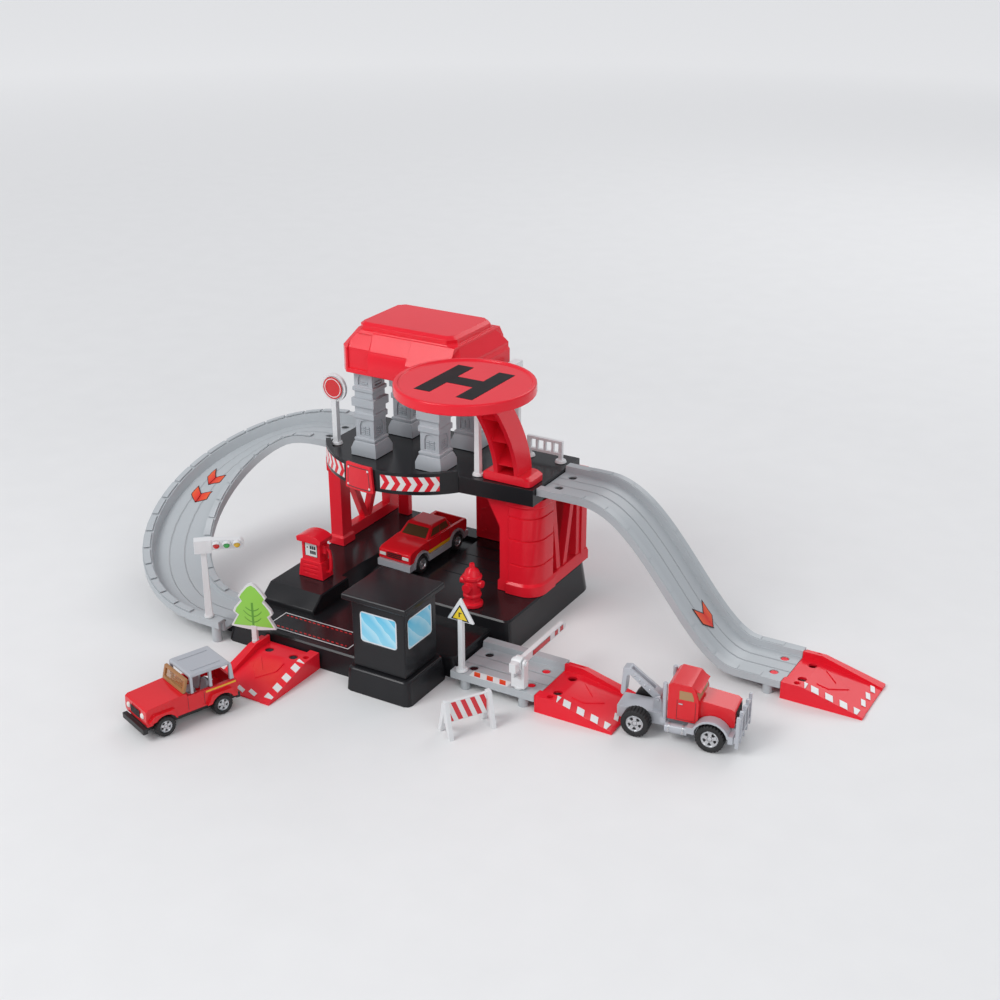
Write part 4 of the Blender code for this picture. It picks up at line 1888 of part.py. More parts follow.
def truck_cab():
    low = TRUCK_FLOOR + GAP
    end = TRUCK_LONG / 2
    cab = prism(((-4.4, low), (14.0, low), (14.0, TRUCK_HOOD + 1.2), (11.6, TRUCK_TOP - 2.4),
                 (9.2, TRUCK_TOP), (-2.0, TRUCK_TOP + 0.6), (-4.4, TRUCK_TOP - 1.4)), -11.6, 11.6, "Y")
    half = TRUCK_WIDE / 2 - TRUCK_TYRE_WIDTH - 0.4
    hood = prism(((12.0, low + 0.3), (end - 1.6, low + 0.3), (end - 1.0, low + 2.0),
                  (end - 1.2, TRUCK_HOOD - 2.0), (end - 3.4, TRUCK_HOOD - 0.4), (13.0, TRUCK_HOOD + 1.6)),
                 -half, half, "Y")
    visor = prism(((10.4, TRUCK_TOP - 3.4), (14.6, TRUCK_TOP - 3.6), (9.0, TRUCK_TOP - 0.4)),
                  -10.6, 10.6, "Y")
    join(cab, hood, visor)
    inner = TRUCK_WIDE / 2 - TRUCK_TYRE_WIDTH - GAP
    cut(cab, wheel_arches(TRUCK_WHEELBASE, TRUCK_TYRE, inner, TRUCK_WIDE / 2,
                          ARCH_CLEARANCE + FLARE_THICK + GAP))
    return keep(park(cab, "truck_cab", TRUCK_PLACE), "truck_cab", red_paint())


def truck_guard():
    """The bars in front of the grille."""
    start = TRUCK_LONG / 2 + GAP
    half = TRUCK_WIDE / 2 - 2.4
    low = TRUCK_TYRE - 3.0
    high = TRUCK_HOOD - 1.0
    guard = block((start + 1.0, -half, low + 3.0), (start + 2.6, half, low + 5.0))
    upper = block((start + 1.0, -half, high - 4.0), (start + 2.6, half, high - 2.4))
    bars = [block((start + 0.9, side * half / 2 - 0.9, low), (start + 2.8, side * half / 2 + 0.9, high))
            for side in (-2, -1, 0, 1, 2)]
    feet = [block((start, side * half - 0.9, low + 3.0), (start + 1.6, side * half + 0.9, low + 7.0))
            for side in (-1, 1)]
    join(guard, upper, *bars, *feet)
    return keep(park(guard, "truck_guard", TRUCK_PLACE), "truck_guard", silver_plastic())


def truck_boom():
    """The crane's beam, which hinges at its front and hangs its hook arm at the back."""
    x, z = BOOM_PIVOT
    top = TRUCK_TOP - 0.6
    tail = -TRUCK_LONG / 2 + 2.0
    beam = prism(((x - 1.6, z - 2.0), (x + 2.0, z - 1.4), (x + 1.4, z + 2.2), (tail + 3.6, top),
                  (tail - 0.4, top - 0.6), (tail - 1.6, z - 1.0), (tail, z - 2.4), (tail + 1.4, z),
                  (tail + 2.2, top - 5.4), (tail + 4.0, top - 4.4)), -BOOM_HALF, BOOM_HALF, "Y")
    slot = block((tail + 4.4, -1.5, z - 6.0), (x - 3.0, 1.5, top + OVERRUN))
    pivot = cylinder(BOOM_PIVOT, BOOM_PIN, -BOOM_HALF - BOOM_EAR - 0.6, BOOM_HALF + BOOM_EAR + 0.6, "Y")
    cut(beam, slot)
    join(beam, pivot)
    solid = park(beam, "truck_boom", TRUCK_PLACE)
    centre = heading((x, 0.0), TRUCK_PLACE[0], TRUCK_PLACE[1], TRUCK_PLACE[3])
    set_origin(solid, *centre, TRUCK_PLACE[2] + z)
    return keep(solid, "truck_boom", silver_plastic())


def truck():
    truck_chassis()
    truck_cab()
    truck_guard()
    truck_boom()
    half = TRUCK_WHEELBASE / 2
    axle("truck_front_axle", TRUCK_PLACE, half, TRUCK_TYRE, TRUCK_TYRE_WIDTH, TRUCK_WIDE / 2)
    axle("truck_rear_axle", TRUCK_PLACE, -half, TRUCK_TYRE, TRUCK_TYRE_WIDTH, TRUCK_WIDE / 2)


def pickup_chassis():
    """Rails, bumpers, side cladding and wheel flares in one silver moulding."""
    inner = PICKUP_WIDE / 2 - PICKUP_TYRE_WIDTH
    half = inner - 0.8
    end = PICKUP_LONG / 2
    side = PICKUP_WIDE / 2 - 0.4
    low = PICKUP_TYRE - 2.2
    frame = block((-end + 1.0, -half, low), (end - 1.0, half, PICKUP_FLOOR))
    radius = PICKUP_TYRE + ARCH_CLEARANCE
    sill = PICKUP_WHEELBASE / 2 - radius
    wide = block((-sill, -side + 0.3, low + 1.0), (sill, side - 0.3, PICKUP_FLOOR))
    front = block((end - 4.0, -side + 0.6, low + 1.0), (end + 1.0, side - 0.6, PICKUP_FLOOR))
    rear = block((-end - 0.6, -side + 0.6, low + 1.2), (-end + 3.4, side - 0.6, PICKUP_FLOOR))
    flares = []
    for x in (-PICKUP_WHEELBASE / 2, PICKUP_WHEELBASE / 2):
        arch = band(x, PICKUP_TYRE, radius, radius + FLARE_THICK, -6, 186, 12)
        flares += [prism(arch, start, stop, "Y") for start, stop in ((-side, -side + 2.2), (side - 2.2, side))]
    join(frame, wide, front, rear, *flares)
    cut(frame, axle_bores(PICKUP_WHEELBASE, PICKUP_TYRE, half))
    return keep(park(frame, "pickup_chassis", PICKUP_PLACE), "pickup_chassis", silver_plastic())


def pickup_body():
    low = PICKUP_FLOOR + GAP
    end = PICKUP_LONG / 2
    half = PICKUP_WIDE / 2 - 1.4
    outline = ((-end + 0.6, low), (end - 0.6, low), (end, low + 2.0), (end - 0.6, PICKUP_BELT - 2.6),
               (end - 3.4, PICKUP_BELT - 1.0), (14.0, PICKUP_BELT + 0.6), (-end + 1.6, PICKUP_BELT),
               (-end, PICKUP_BELT - 1.8))
    body = prism(outline, -half, half, "Y")
    wide = half - 0.8
    cabin = loft(((PICKUP_BELT - 1.0, rectangle(-17.0, -wide, 14.6, wide)),
                  (PICKUP_TOP - 0.8, rectangle(-13.4, -wide + 2.2, 4.6, wide - 2.2)),
                  (PICKUP_TOP, rectangle(-12.4, -wide + 3.4, 3.4, wide - 3.4))), "cabin")
    bed = block((-end + 2.8, -half + 2.4, low + 3.0), (-18.4, half - 2.4, PICKUP_TOP))
    join(body, cabin)
    inner = PICKUP_WIDE / 2 - PICKUP_TYRE_WIDTH - 1.0
    cut(body, bed, wheel_arches(PICKUP_WHEELBASE, PICKUP_TYRE, inner, half,
                                ARCH_CLEARANCE + FLARE_THICK + GAP))
    return keep(park(body, "pickup_body", PICKUP_PLACE), "pickup_body", red_paint())


def pickup():
    pickup_chassis()
    pickup_body()
    half = PICKUP_WHEELBASE / 2
    axle("pickup_front_axle", PICKUP_PLACE, half, PICKUP_TYRE, PICKUP_TYRE_WIDTH, PICKUP_WIDE / 2)
    axle("pickup_rear_axle", PICKUP_PLACE, -half, PICKUP_TYRE, PICKUP_TYRE_WIDTH, PICKUP_WIDE / 2)


def build():
    clear_scene()
    make_collections()
    base_tray()
    booth_plinth()
    booth_walls()
    booth_roof()
    left_wall()
    right_wall()
    back_wall()
    upper_deck()
    deck_sign()
    roof_pillar("roof_pillar_front_left", PILLAR_FRONT_LEFT)
    roof_pillar("roof_pillar_front_right", PILLAR_FRONT_RIGHT)
    roof_pillar("roof_pillar_back_left", PILLAR_BACK_LEFT)
    roof_pillar("roof_pillar_back_right", PILLAR_BACK_RIGHT)
    roof()
    helipad_arm()
    helipad_disc()
    left_curve_track()
    right_slope_track()
    exit_plate()
    ramps()
    round_sign()
    lamp_post("lamp_post_front", LAMP_FRONT, 90.0)
    lamp_post("lamp_post_back", LAMP_BACK, 90.0)
    deck_fence()
    triangle_sign()
    barrier_post()
    barrier_arm()
    barricade()
    fuel_pump()
    hydrant()
    traffic_light()
    tree_sign()
    open_car()
    truck()
    pickup()


build()
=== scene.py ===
# %% [markdown]
# Toy parking garage, dressed for a render.
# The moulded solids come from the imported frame. This script gives each of them rounded edges and a
# plastic finish, and adds the parts that a mould can't give: stickers, embossed track panels, lamp
# lenses, windows, tyres and trim. Lengths are written in millimetres and turned into metres by MM.

# %% Load the frame
import json
import math

import bmesh
import bpy
import numpy as np
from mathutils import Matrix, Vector
from mathutils.bvhtree import BVHTree


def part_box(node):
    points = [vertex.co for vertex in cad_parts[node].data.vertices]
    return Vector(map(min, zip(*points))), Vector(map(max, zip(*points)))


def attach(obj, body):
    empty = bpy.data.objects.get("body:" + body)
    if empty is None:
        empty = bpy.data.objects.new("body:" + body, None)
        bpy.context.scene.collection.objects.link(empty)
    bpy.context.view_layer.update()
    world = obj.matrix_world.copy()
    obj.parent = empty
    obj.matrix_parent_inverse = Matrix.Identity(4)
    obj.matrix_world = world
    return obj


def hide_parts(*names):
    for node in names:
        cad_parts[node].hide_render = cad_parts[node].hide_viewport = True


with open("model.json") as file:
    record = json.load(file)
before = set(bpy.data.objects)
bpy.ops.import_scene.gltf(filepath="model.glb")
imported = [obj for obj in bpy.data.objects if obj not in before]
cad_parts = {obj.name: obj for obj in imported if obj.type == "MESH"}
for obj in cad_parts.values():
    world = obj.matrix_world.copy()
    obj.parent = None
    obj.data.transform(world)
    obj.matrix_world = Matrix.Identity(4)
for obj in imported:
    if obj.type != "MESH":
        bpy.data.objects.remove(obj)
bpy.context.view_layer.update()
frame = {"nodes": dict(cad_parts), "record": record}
NODES = frame["nodes"]
MM = 0.001

# %% [markdown]
# The camera stands where the picture was taken from: in front and to the right, a little above the
# roof. A lens of about 55 mm gives the same perspective, and a small shift puts the toy in the frame.

# %% Camera
def add(name, data):
    """A new object in the scene."""
    obj = bpy.data.objects.new(name, data)
    bpy.context.scene.collection.objects.link(obj)
    return obj


camera = add("camera", bpy.data.cameras.new("camera"))
camera.location = (0.507, -0.748, 0.481)
camera.rotation_euler = (math.radians(65.5), 0.0, math.radians(30.0))
camera.data.lens = 54.1
camera.data.shift_x = -0.0095
camera.data.shift_y = 0.019
camera.data.clip_start = 0.01
bpy.context.scene.camera = camera
print("camera at", tuple(camera.location))

# %% [markdown]
# Shader maths reads best as plain arithmetic. Wire stands for one output in a node tree, and its
# operators add Math nodes. Finish holds one material or the world, and its node method makes any
# other node: the settings are set first, and then the sockets get values or links.

# %% Shader arithmetic
def binary(operation, swapped=False):
    """An operator that adds one Math node, its sides swapped where a plain number stands on the left."""
    def act(self, other):
        first, second = (other, self) if swapped else (self, other)
        return self.finish.node("Math", {0: first, 1: second}, operation=operation)
    return act


class Wire:
    """One socket of a material's tree. Arithmetic on it adds Math nodes."""

    def __init__(self, finish, socket):
        self.finish = finish
        self.socket = socket

    def __abs__(self):
        return self.finish.node("Math", {0: self}, operation="ABSOLUTE")

    __add__ = __radd__ = binary("ADD")
    __sub__ = binary("SUBTRACT")
    __rsub__ = binary("SUBTRACT", swapped=True)
    __mul__ = __rmul__ = binary("MULTIPLY")
    __truediv__ = binary("DIVIDE")
    __rtruediv__ = binary("DIVIDE", swapped=True)
    __mod__ = binary("FLOORED_MODULO")
    __gt__ = binary("GREATER_THAN")
    __lt__ = binary("LESS_THAN")
    __or__ = binary("MAXIMUM")
    __and__ = binary("MINIMUM")


UV_MAP, OBJECT_SPACE = 2, 3


class Finish:
    """One material, or the world, under construction."""

    def __init__(self, name, home=bpy.data.materials):
        self.made = home.new(name)
        self.made.use_nodes = True
        self.tree = self.made.node_tree
        self.tree.nodes.clear()

    def node(self, kind, sockets=None, output=0, **settings):
        """Any shader node, its settings first, then the values or links of its sockets."""
        made = self.tree.nodes.new("ShaderNode" + kind)
        for key, value in settings.items():
            setattr(made, key, value)
        for key, value in (sockets or {}).items():
            if isinstance(value, Wire):
                self.tree.links.new(value.socket, made.inputs[key])
            else:
                made.inputs[key].default_value = value
        return Wire(self, made.outputs[output])

    def split(self, output):
        """The numbers in one output of the Texture Coordinate node: UV_MAP or OBJECT_SPACE."""
        coords = self.node("TexCoord", output=output)
        return [self.node("SeparateXYZ", {0: coords}, output=index) for index in range(3)]

    def place(self):
        """The x and y of a surface point in millimetres."""
        return [part * 1000.0 for part in self.split(OBJECT_SPACE)[:2]]

    def reach(self, a, b):
        """The root of a squared plus b squared."""
        return self.node("Math", {0: a * a + b * b}, operation="SQRT")

    def noise(self, size, detail=2.0):
        """Noise from 0 to 1 whose features are about size millimetres wide."""
        coords = self.node("TexCoord", output=OBJECT_SPACE)
        return self.node("TexNoise", {"Vector": coords, "Scale": 1.0 / (size * MM), "Detail": detail})

    def mix(self, mask, first, second):
        """The first colour where mask is 0 and the second where it is 1."""
        sockets = {0: mask}
        for index, colour in ((6, first), (7, second)):
            sockets[index] = colour if isinstance(colour, Wire) else (*colour, 1.0)
        return self.node("Mix", sockets, output=2, data_type="RGBA")

    def clamp(self, value):
        """A value held between 0 and 1."""
        return self.node("Clamp", {0: value})

    def close(self, colour, roughness, bump=None, strength=0.1, distance=0.1, **more):
        """The principled shader with this colour, roughness, bump height and any more of its sockets."""
        sockets = {key.replace("_", " "): value for key, value in more.items()}
        sockets.update({"Base Color": colour, "Roughness": roughness})
        if bump is not None:
            sockets["Normal"] = self.node("Bump", {"Height": bump, "Strength": strength,
                                                   "Distance": distance * MM})
        return self.end(self.node("BsdfPrincipled", sockets), "ShaderNodeOutputMaterial")

    def end(self, shader, output):
        """Link a shader to a new output node and return the material or world."""
        self.tree.links.new(shader.socket, self.tree.nodes.new(output).inputs[0])
        return self.made


print("shader helpers ready")

# %% [markdown]
# A moulded toy is never one flat colour. The pigment streaks a little where the melt flowed, the
# gloss changes with the mould's polish and with fingerprints, and the skin has a fine orange-peel
# wave. plastic() gives these three at their real scales: 38 mm, 14 mm and 2.4 mm.

# %% Moulded plastic
def scaled(colour, share):
    """A colour made darker or lighter by a share."""
    return tuple(share * part for part in colour)


def plastic(name, colour, gloss=0.25, streak=0.06, peel=0.04, **more):
    """Moulded plastic: colour with faint flow streaks, uneven gloss and a fine orange-peel wave."""
    finish = Finish(name)
    flow = finish.noise(38.0, 3.0)
    fine = finish.noise(2.4, 2.0)
    light = tuple(min(1.0, v * (1.0 + streak) + 0.004) for v in colour)
    tint = finish.mix(flow, scaled(colour, 1.0 - streak), light)
    rough = gloss + (finish.noise(14.0, 3.0) - 0.5) * 0.10 + (fine - 0.5) * 0.04
    return finish.close(tint, rough, fine, strength=peel, distance=0.25, **more)


RED = (0.80, 0.012, 0.028)
BLACK = (0.012, 0.012, 0.014)
GREY = (0.41, 0.44, 0.47)
TRACK_GREY = (0.45, 0.48, 0.50)
WHITE = (0.74, 0.75, 0.76)
SILVER = (0.48, 0.50, 0.54)
print("plastic finishes ready")

# %% [markdown]
# A CAD solid has knife edges and flat facets, and real mouldings have neither. Each node keeps its
# mesh and gets modifiers: Weld joins the loose triangles, Decimate clears the seams inside flat
# faces, Bevel rounds every corner by a few tenths of a millimetre, and a small node group shades
# everything smooth except the sharp turns that are left. Weighted Normal then lets the big flat
# faces set the shading, so that the light only rolls over the narrow rounded edges.

# %% Rounded and smooth shaded
def smooth_group(degrees):
    """A geometry node group: smooth faces, with edges sharper than the angle kept crisp."""
    group = bpy.data.node_groups.new(f"smooth_below_{degrees}", "GeometryNodeTree")
    for way in ("INPUT", "OUTPUT"):
        group.interface.new_socket("Geometry", in_out=way, socket_type="NodeSocketGeometry")
    kinds = ("NodeGroupInput", "GeometryNodeSetShadeSmooth", "GeometryNodeSetShadeSmooth",
             "NodeGroupOutput", "GeometryNodeInputMeshEdgeAngle", "FunctionNodeCompare")
    start, faces, edges, end, angle, compare = [group.nodes.new(kind) for kind in kinds]
    edges.domain = "EDGE"
    edges.inputs["Shade Smooth"].default_value = False
    compare.operation = "GREATER_THAN"
    compare.inputs[1].default_value = math.radians(degrees)
    for source, target in ((start, faces.inputs[0]), (faces, edges.inputs[0]), (edges, end.inputs[0]),
                           (angle, compare.inputs[0]), (compare, edges.inputs["Selection"])):
        group.links.new(source.outputs[0], target)
    return group


SMOOTH = smooth_group(50)


def round_edges(obj, width, tidied=True):
    """Modifiers that weld, tidy, round and smooth a CAD node."""
    weld = obj.modifiers.new("weld", "WELD")
    weld.merge_threshold = 0.00001
    if tidied:
        tidy = obj.modifiers.new("tidy", "DECIMATE")
        tidy.decimate_type = "DISSOLVE"
        tidy.angle_limit = math.radians(0.1)
    bevel = obj.modifiers.new("bevel", "BEVEL")
    bevel.width = width * MM
    bevel.segments = 2
    bevel.limit_method = "ANGLE"
    bevel.angle_limit = math.radians(33.0)
    bevel.use_clamp_overlap = False
    obj.modifiers.new("smooth", "NODES").node_group = SMOOTH
    weigh = obj.modifiers.new("weigh", "WEIGHTED_NORMAL")
    weigh.keep_sharp = True


def dress(node, material):
    """Put one material on a CAD node."""
    mesh = NODES[node].data
    mesh.materials.clear()
    mesh.materials.append(material)


# Most edges get 0.4 mm. Where that would fold over a neighbouring edge, the node has a narrower round,
# and the nodes in LOOSE keep their own triangles.
NARROW = {0.3: "booth_roof booth_walls hydrant truck_boom",
          0.2: "roof roof_pillar_front_left roof_pillar_front_right roof_pillar_back_left "
               "roof_pillar_back_right lamp_post_front lamp_post_back right_slope_track triangle_sign "
               "fuel_pump",
          0.15: "barricade upper_deck traffic_light barrier_post exit_plate",
          0.1: "left_wall front_ramp open_car_body open_car_chassis left_curve_track",
          0.03: "base_tray"}
LOOSE = {0.1: "exit_ramp right_end_ramp truck_cab truck_chassis round_sign deck_fence barrier_arm",
         0.05: "truck_guard pickup_chassis helipad_arm tree_sign right_wall"}
EDGES = {node: (width, widths is NARROW) for widths in (NARROW, LOOSE)
         for width, nodes in widths.items() for node in nodes.split()}
for name, obj in NODES.items():
    round_edges(obj, *EDGES.get(name, (0.4, True)))
print("rounded", len(NODES), "nodes")

# %% [markdown]
# The record gives every node a material slot. One finish per slot makes all mouldings of one plastic
# look alike: glossy red and black, satin grey and white, clear tan, and paint on the cars.

# %% Base finishes
red = plastic("red_plastic_gloss", RED, gloss=0.20, Specular_IOR_Level=0.3)
black = plastic("black_plastic_gloss", BLACK, gloss=0.22, streak=0.12, Specular_IOR_Level=0.3)
grey = plastic("grey_plastic_satin", GREY, gloss=0.34)
white = plastic("white_plastic_satin", WHITE, gloss=0.30, streak=0.03)
green = plastic("green_board", (0.10, 0.42, 0.03), gloss=0.35)
paint = plastic("red_body_paint", (0.70, 0.010, 0.018), gloss=0.16, Coat_Weight=0.3,
                Specular_IOR_Level=0.3)
silver = plastic("silver_plastic_satin", SILVER, gloss=0.30, streak=0.03, peel=0.012, Metallic=0.25)
tan = plastic("tan_clear_plastic", (0.36, 0.17, 0.06), gloss=0.12)
tyre = plastic("tyre_vinyl", (0.012, 0.012, 0.013), gloss=0.45)
FINISH_OF_SLOT = {"red_plastic": red, "black_plastic": black, "grey_plastic": grey,
                  "white_plastic": white, "green_board": green, "red_paint": paint,
                  "silver_plastic": silver, "tan_plastic": tan, "tyre_plastic": tyre}
for part in frame["record"]["subparts"]:
    dress(part["node"], FINISH_OF_SLOT[part["material_slot"]])
print("dressed", len(NODES), "nodes")

# %% [markdown]
# The stickers, panels and lenses are new pieces. Each is a surface computed as whole numpy arrays: a
# grid of points, a twin grid a little below it along the normals, and a rim that closes the two.
# The same grid carries a UV map from 0 to 1, so that a printed pattern can follow a bent sticker.

# %% Grids, slabs and plates
def grid_quads(rows, cols, start=0, wrap=False):
    """Quads of a grid numbered row by row; wrap joins the last column to the first."""
    index = np.arange(rows * cols).reshape(rows, cols) + start
    if wrap:
        index = np.concatenate([index, index[:, :1]], axis=1)
    return np.stack([index[:-1, :-1], index[:-1, 1:], index[1:, 1:], index[1:, :-1]], -1).reshape(-1, 4)


def slab(top, thick):
    """A closed thin sheet. Below each point of the grid lies point minus thick times the unit normal,
    and the normal is the cross product of the grid's two directions."""
    top = np.asarray(top, float)
    rows, cols = top.shape[:2]
    normal = np.cross(np.gradient(top, axis=1), np.gradient(top, axis=0))
    normal /= np.linalg.norm(normal, axis=2, keepdims=True)
    points = np.concatenate([top.reshape(-1, 3), (top - thick * normal).reshape(-1, 3)])
    index = np.arange(rows * cols).reshape(rows, cols)
    ring = np.concatenate([index[0, :-1], index[:-1, -1], index[-1, :0:-1], index[:0:-1, 0]])
    after = np.roll(ring, -1)
    rim = np.stack([ring, after, after + rows * cols, ring + rows * cols], -1)
    faces = np.concatenate([grid_quads(rows, cols), grid_quads(rows, cols, rows * cols), rim]).tolist()
    v, u = np.meshgrid(np.linspace(0, 1, rows), np.linspace(0, 1, cols), indexing="ij")
    uv = np.tile(np.stack([u, v], -1).reshape(-1, 2), (2, 1))
    return points, faces, uv


def plate(outline, thick, origin=(0, 0, 0), right=(1, 0, 0), up=(0, 0, 1)):
    """A flat plate: origin + x right + y up for its back, and thick further along right x up."""
    flat = np.asarray(outline, float)
    right = np.asarray(right, float)
    up = np.asarray(up, float)
    back = np.asarray(origin, float) + flat[:, :1] * right + flat[:, 1:] * up
    count = len(flat)
    points = np.concatenate([back, back + thick * np.cross(right, up)])
    ring = np.arange(count)
    after = np.roll(ring, -1)
    faces = np.stack([ring, after, after + count, ring + count], -1).tolist()
    faces += [list(range(count))[::-1], list(range(count, 2 * count))]
    size = flat.max(0) - flat.min(0)
    return points, faces, np.tile((flat - flat.min(0)) / size, (2, 1))


def rectangle(left, low, right, high):
    return [(left, low), (right, low), (right, high), (left, high)]


def rounded(wide, high, radius):
    """A rounded rectangle about its own middle: each corner is centre + radius (cos, sin)."""
    angles = np.radians(np.linspace(0, 90, 5))
    arc = np.stack([np.cos(angles), np.sin(angles)], -1) * radius
    corner = np.array([wide / 2 - radius, high / 2 - radius])
    quarters = np.radians([0, 90, 180, 270])
    turns = [np.array([[np.cos(t), np.sin(t)], [-np.sin(t), np.cos(t)]]) for t in quarters]
    signs = ((1, 1), (-1, 1), (-1, -1), (1, -1))
    return np.concatenate([arc @ turn + corner * sign for turn, sign in zip(turns, signs)])


def turned(profile, sides, centre, axis, wave=None):
    """A surface of revolution about axis through centre: point = centre + r (side cos a + up sin a)
    + h axis, for each (r, h) of a profile that starts and ends on the axis. wave(r, a) is added to r."""
    profile = np.asarray(profile, float)
    axis = np.asarray(axis, float) / np.linalg.norm(axis)
    side = np.cross(axis, (0, 0, 1) if abs(axis[2]) < 0.9 else (1, 0, 0))
    side /= np.linalg.norm(side)
    up = np.cross(axis, side)
    angle = np.linspace(0, 2 * np.pi, sides, endpoint=False)
    radius = profile[:, :1] + (wave(profile[:, :1], angle[None]) if wave else 0 * angle[None])
    points = (np.asarray(centre, float) + radius[..., None] * (np.cos(angle)[:, None] * side
              + np.sin(angle)[:, None] * up) + profile[:, 1][:, None, None] * axis)
    uv = np.stack([np.broadcast_to(angle / (2 * np.pi), radius.shape),
                   np.broadcast_to(profile[:, :1] / profile[:, 0].max(), radius.shape)], -1)
    return points.reshape(-1, 3), grid_quads(len(profile), sides, wrap=True).tolist(), uv.reshape(-1, 2)


def piece(name, parts, material, body="garage", bevel=0.0):
    """One object from several (points in mm, faces, uv) sets, merged, faces out, riding on a body."""
    points = np.concatenate([part[0] for part in parts]) * MM
    starts = np.cumsum([0] + [len(part[0]) for part in parts]).tolist()
    faces = [[v + start for v in face] for part, start in zip(parts, starts) for face in part[1]]
    mesh = bpy.data.meshes.new(name)
    mesh.from_pydata(points.tolist(), [], faces)
    layer = mesh.uv_layers.new(name="print")
    corner = np.zeros(len(mesh.loops), np.int32)
    mesh.loops.foreach_get("vertex_index", corner)
    layer.data.foreach_set("uv", np.concatenate([part[2] for part in parts])[corner].ravel())
    work = bmesh.new()
    work.from_mesh(mesh)
    bmesh.ops.remove_doubles(work, verts=work.verts, dist=0.000002)
    bmesh.ops.recalc_face_normals(work, faces=work.faces)
    work.to_mesh(mesh)
    work.free()
    obj = add(name, mesh)
    mesh.materials.append(material)
    if bevel:
        round_edges(obj, bevel)
    else:
        obj.modifiers.new("smooth", "NODES").node_group = SMOOTH
    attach(obj, body)
    return obj


def ground(node):
    """A function that gives the height of a CAD node's top at each x and y, all in mm."""
    mesh = NODES[node].data
    tree = BVHTree.FromPolygons([vert.co / MM for vert in mesh.vertices],
                                [list(face.vertices) for face in mesh.polygons])

    def height(x, y):
        hits = [tree.ray_cast((a, b, 400.0), (0, 0, -1))[0] for a, b in zip(np.ravel(x), np.ravel(y))]
        return np.array([hit[2] for hit in hits]).reshape(np.shape(x))
    return height


def set_down(part, spot):
    """Turn a part by the last value of a spot (x, y, z, degrees) and move it there."""
    points, faces, uv = part
    x, y, z, turn = spot
    cos, sin = math.cos(math.radians(turn)), math.sin(math.radians(turn))
    across, along, rise = points.T
    moved = np.stack([x + across * cos - along * sin, y + across * sin + along * cos, z + rise], -1)
    return moved, faces, uv


def both_sides(y, outline, thick=0.2):
    """The same flat patch on two opposite faces, its back y mm from the middle plane."""
    return [plate([(-side * x, z) for x, z in outline], thick, (0, side * y, 0), (-side, 0, 0))
            for side in (-1, 1)]


def corners(node):
    """A CAD node's lowest corner, middle and highest corner in mm."""
    low, high = (np.array(corner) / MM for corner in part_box(node))
    return low, (low + high) / 2, high


print("surface helpers ready")

# %% [markdown]
# Printed stickers are thin vinyl: glossier than the moulding, with flat inks. sticker() makes the
# finish from a function that paints with the piece's own UV map, so stripes bend with the sticker.

# %% Printed stickers
def plain(finish, u, v):
    """No ink at all."""
    return []


def sticker(name, base, marks=plain, gloss=0.22, **more):
    """Vinyl with inks: marks(finish, u, v) returns (mask, colour) pairs painted in order."""
    finish = Finish(name)
    u, v = finish.split(UV_MAP)[:2]
    tint = finish.mix(finish.noise(9.0, 2.0), scaled(base, 0.94), base)
    for mask, ink in marks(finish, u, v):
        tint = finish.mix(mask, tint, ink)
    fine = finish.noise(1.2, 2.0)
    rough = gloss + (finish.noise(8.0, 3.0) - 0.5) * 0.12
    return finish.close(tint, rough, fine, strength=0.02, **more)


def inside(value, low, high):
    """1 where value lies between low and high."""
    return (value > low) * (value < high)


def off(value, middle=0.5):
    """How far a value lies from a middle one."""
    return abs(value - middle)


def chevrons(wide, high, pitch, lean):
    """White arrows on red: the phase is x + lean |y - middle|, cut into halves of the pitch."""
    def marks(finish, u, v):
        phase = (u * wide + off(v) * (high * lean)) % pitch
        edge = (off(u) * wide > wide / 2 - 0.7) | (off(v) * high > high / 2 - 0.7)
        return [(phase < pitch / 2, (0.78, 0.78, 0.78)), (edge, (0.02, 0.02, 0.022))]
    return marks


print("sticker finish ready")

# %% [markdown]
# The deck's front is a bowed fascia, part of a cylinder. Two chevron stickers bend round it, one on
# each side of the plate. A sticker is a grid in angle and height, pushed out to the cylinder's face.

# %% Fascia stickers
TRACK_HIGH, TRACK_LOW = 100.0, 9.0
FASCIA_CENTRE = (-23.0, 55.0)
FASCIA_RADIUS = 68.0


def on_fascia(angle, height, out=0.0):
    """Points at an angle in degrees and a height on the bowed face, out mm in front of it."""
    turn = np.radians(angle)
    reach = FASCIA_RADIUS + out
    x = FASCIA_CENTRE[0] + reach * np.cos(turn)
    y = FASCIA_CENTRE[1] + reach * np.sin(turn)
    return np.stack([x, y, np.broadcast_to(height, x.shape)], -1)


def fascia_sticker(name, start, end, low=93.0, high=104.4):
    """Chevrons from one angle to another."""
    wide = math.radians(end - start) * FASCIA_RADIUS
    angle, height = np.meshgrid(np.linspace(start, end, 28), np.linspace(low, high, 5))
    vinyl = sticker(name + "_vinyl", (0.74, 0.012, 0.028), chevrons(wide, high - low, 7.4, 0.62),
                    Specular_IOR_Level=0.3)
    print(name, "is", round(wide, 1), "mm wide")
    piece(name, [slab(on_fascia(angle, height, 0.15), 0.3)], vinyl)


fascia_sticker("fascia_chevrons_right", 276.5, 311.0)
fascia_sticker("fascia_chevrons_left", 220.0, 251.5)

# %% [markdown]
# The plate in the middle of the fascia has a thin printed frame and four rivet heads.

# %% Fascia plate
def dome(centre, axis, radius, height, sides=20):
    """A low dome: height times the square root of 1 - (r / radius) squared, closed by its base."""
    share = np.linspace(0, 1, 6)
    profile = [(radius * s, height * math.sqrt(1 - s * s)) for s in share] + [(radius, -0.3), (0.0, -0.3)]
    return turned(profile, sides, centre, axis)


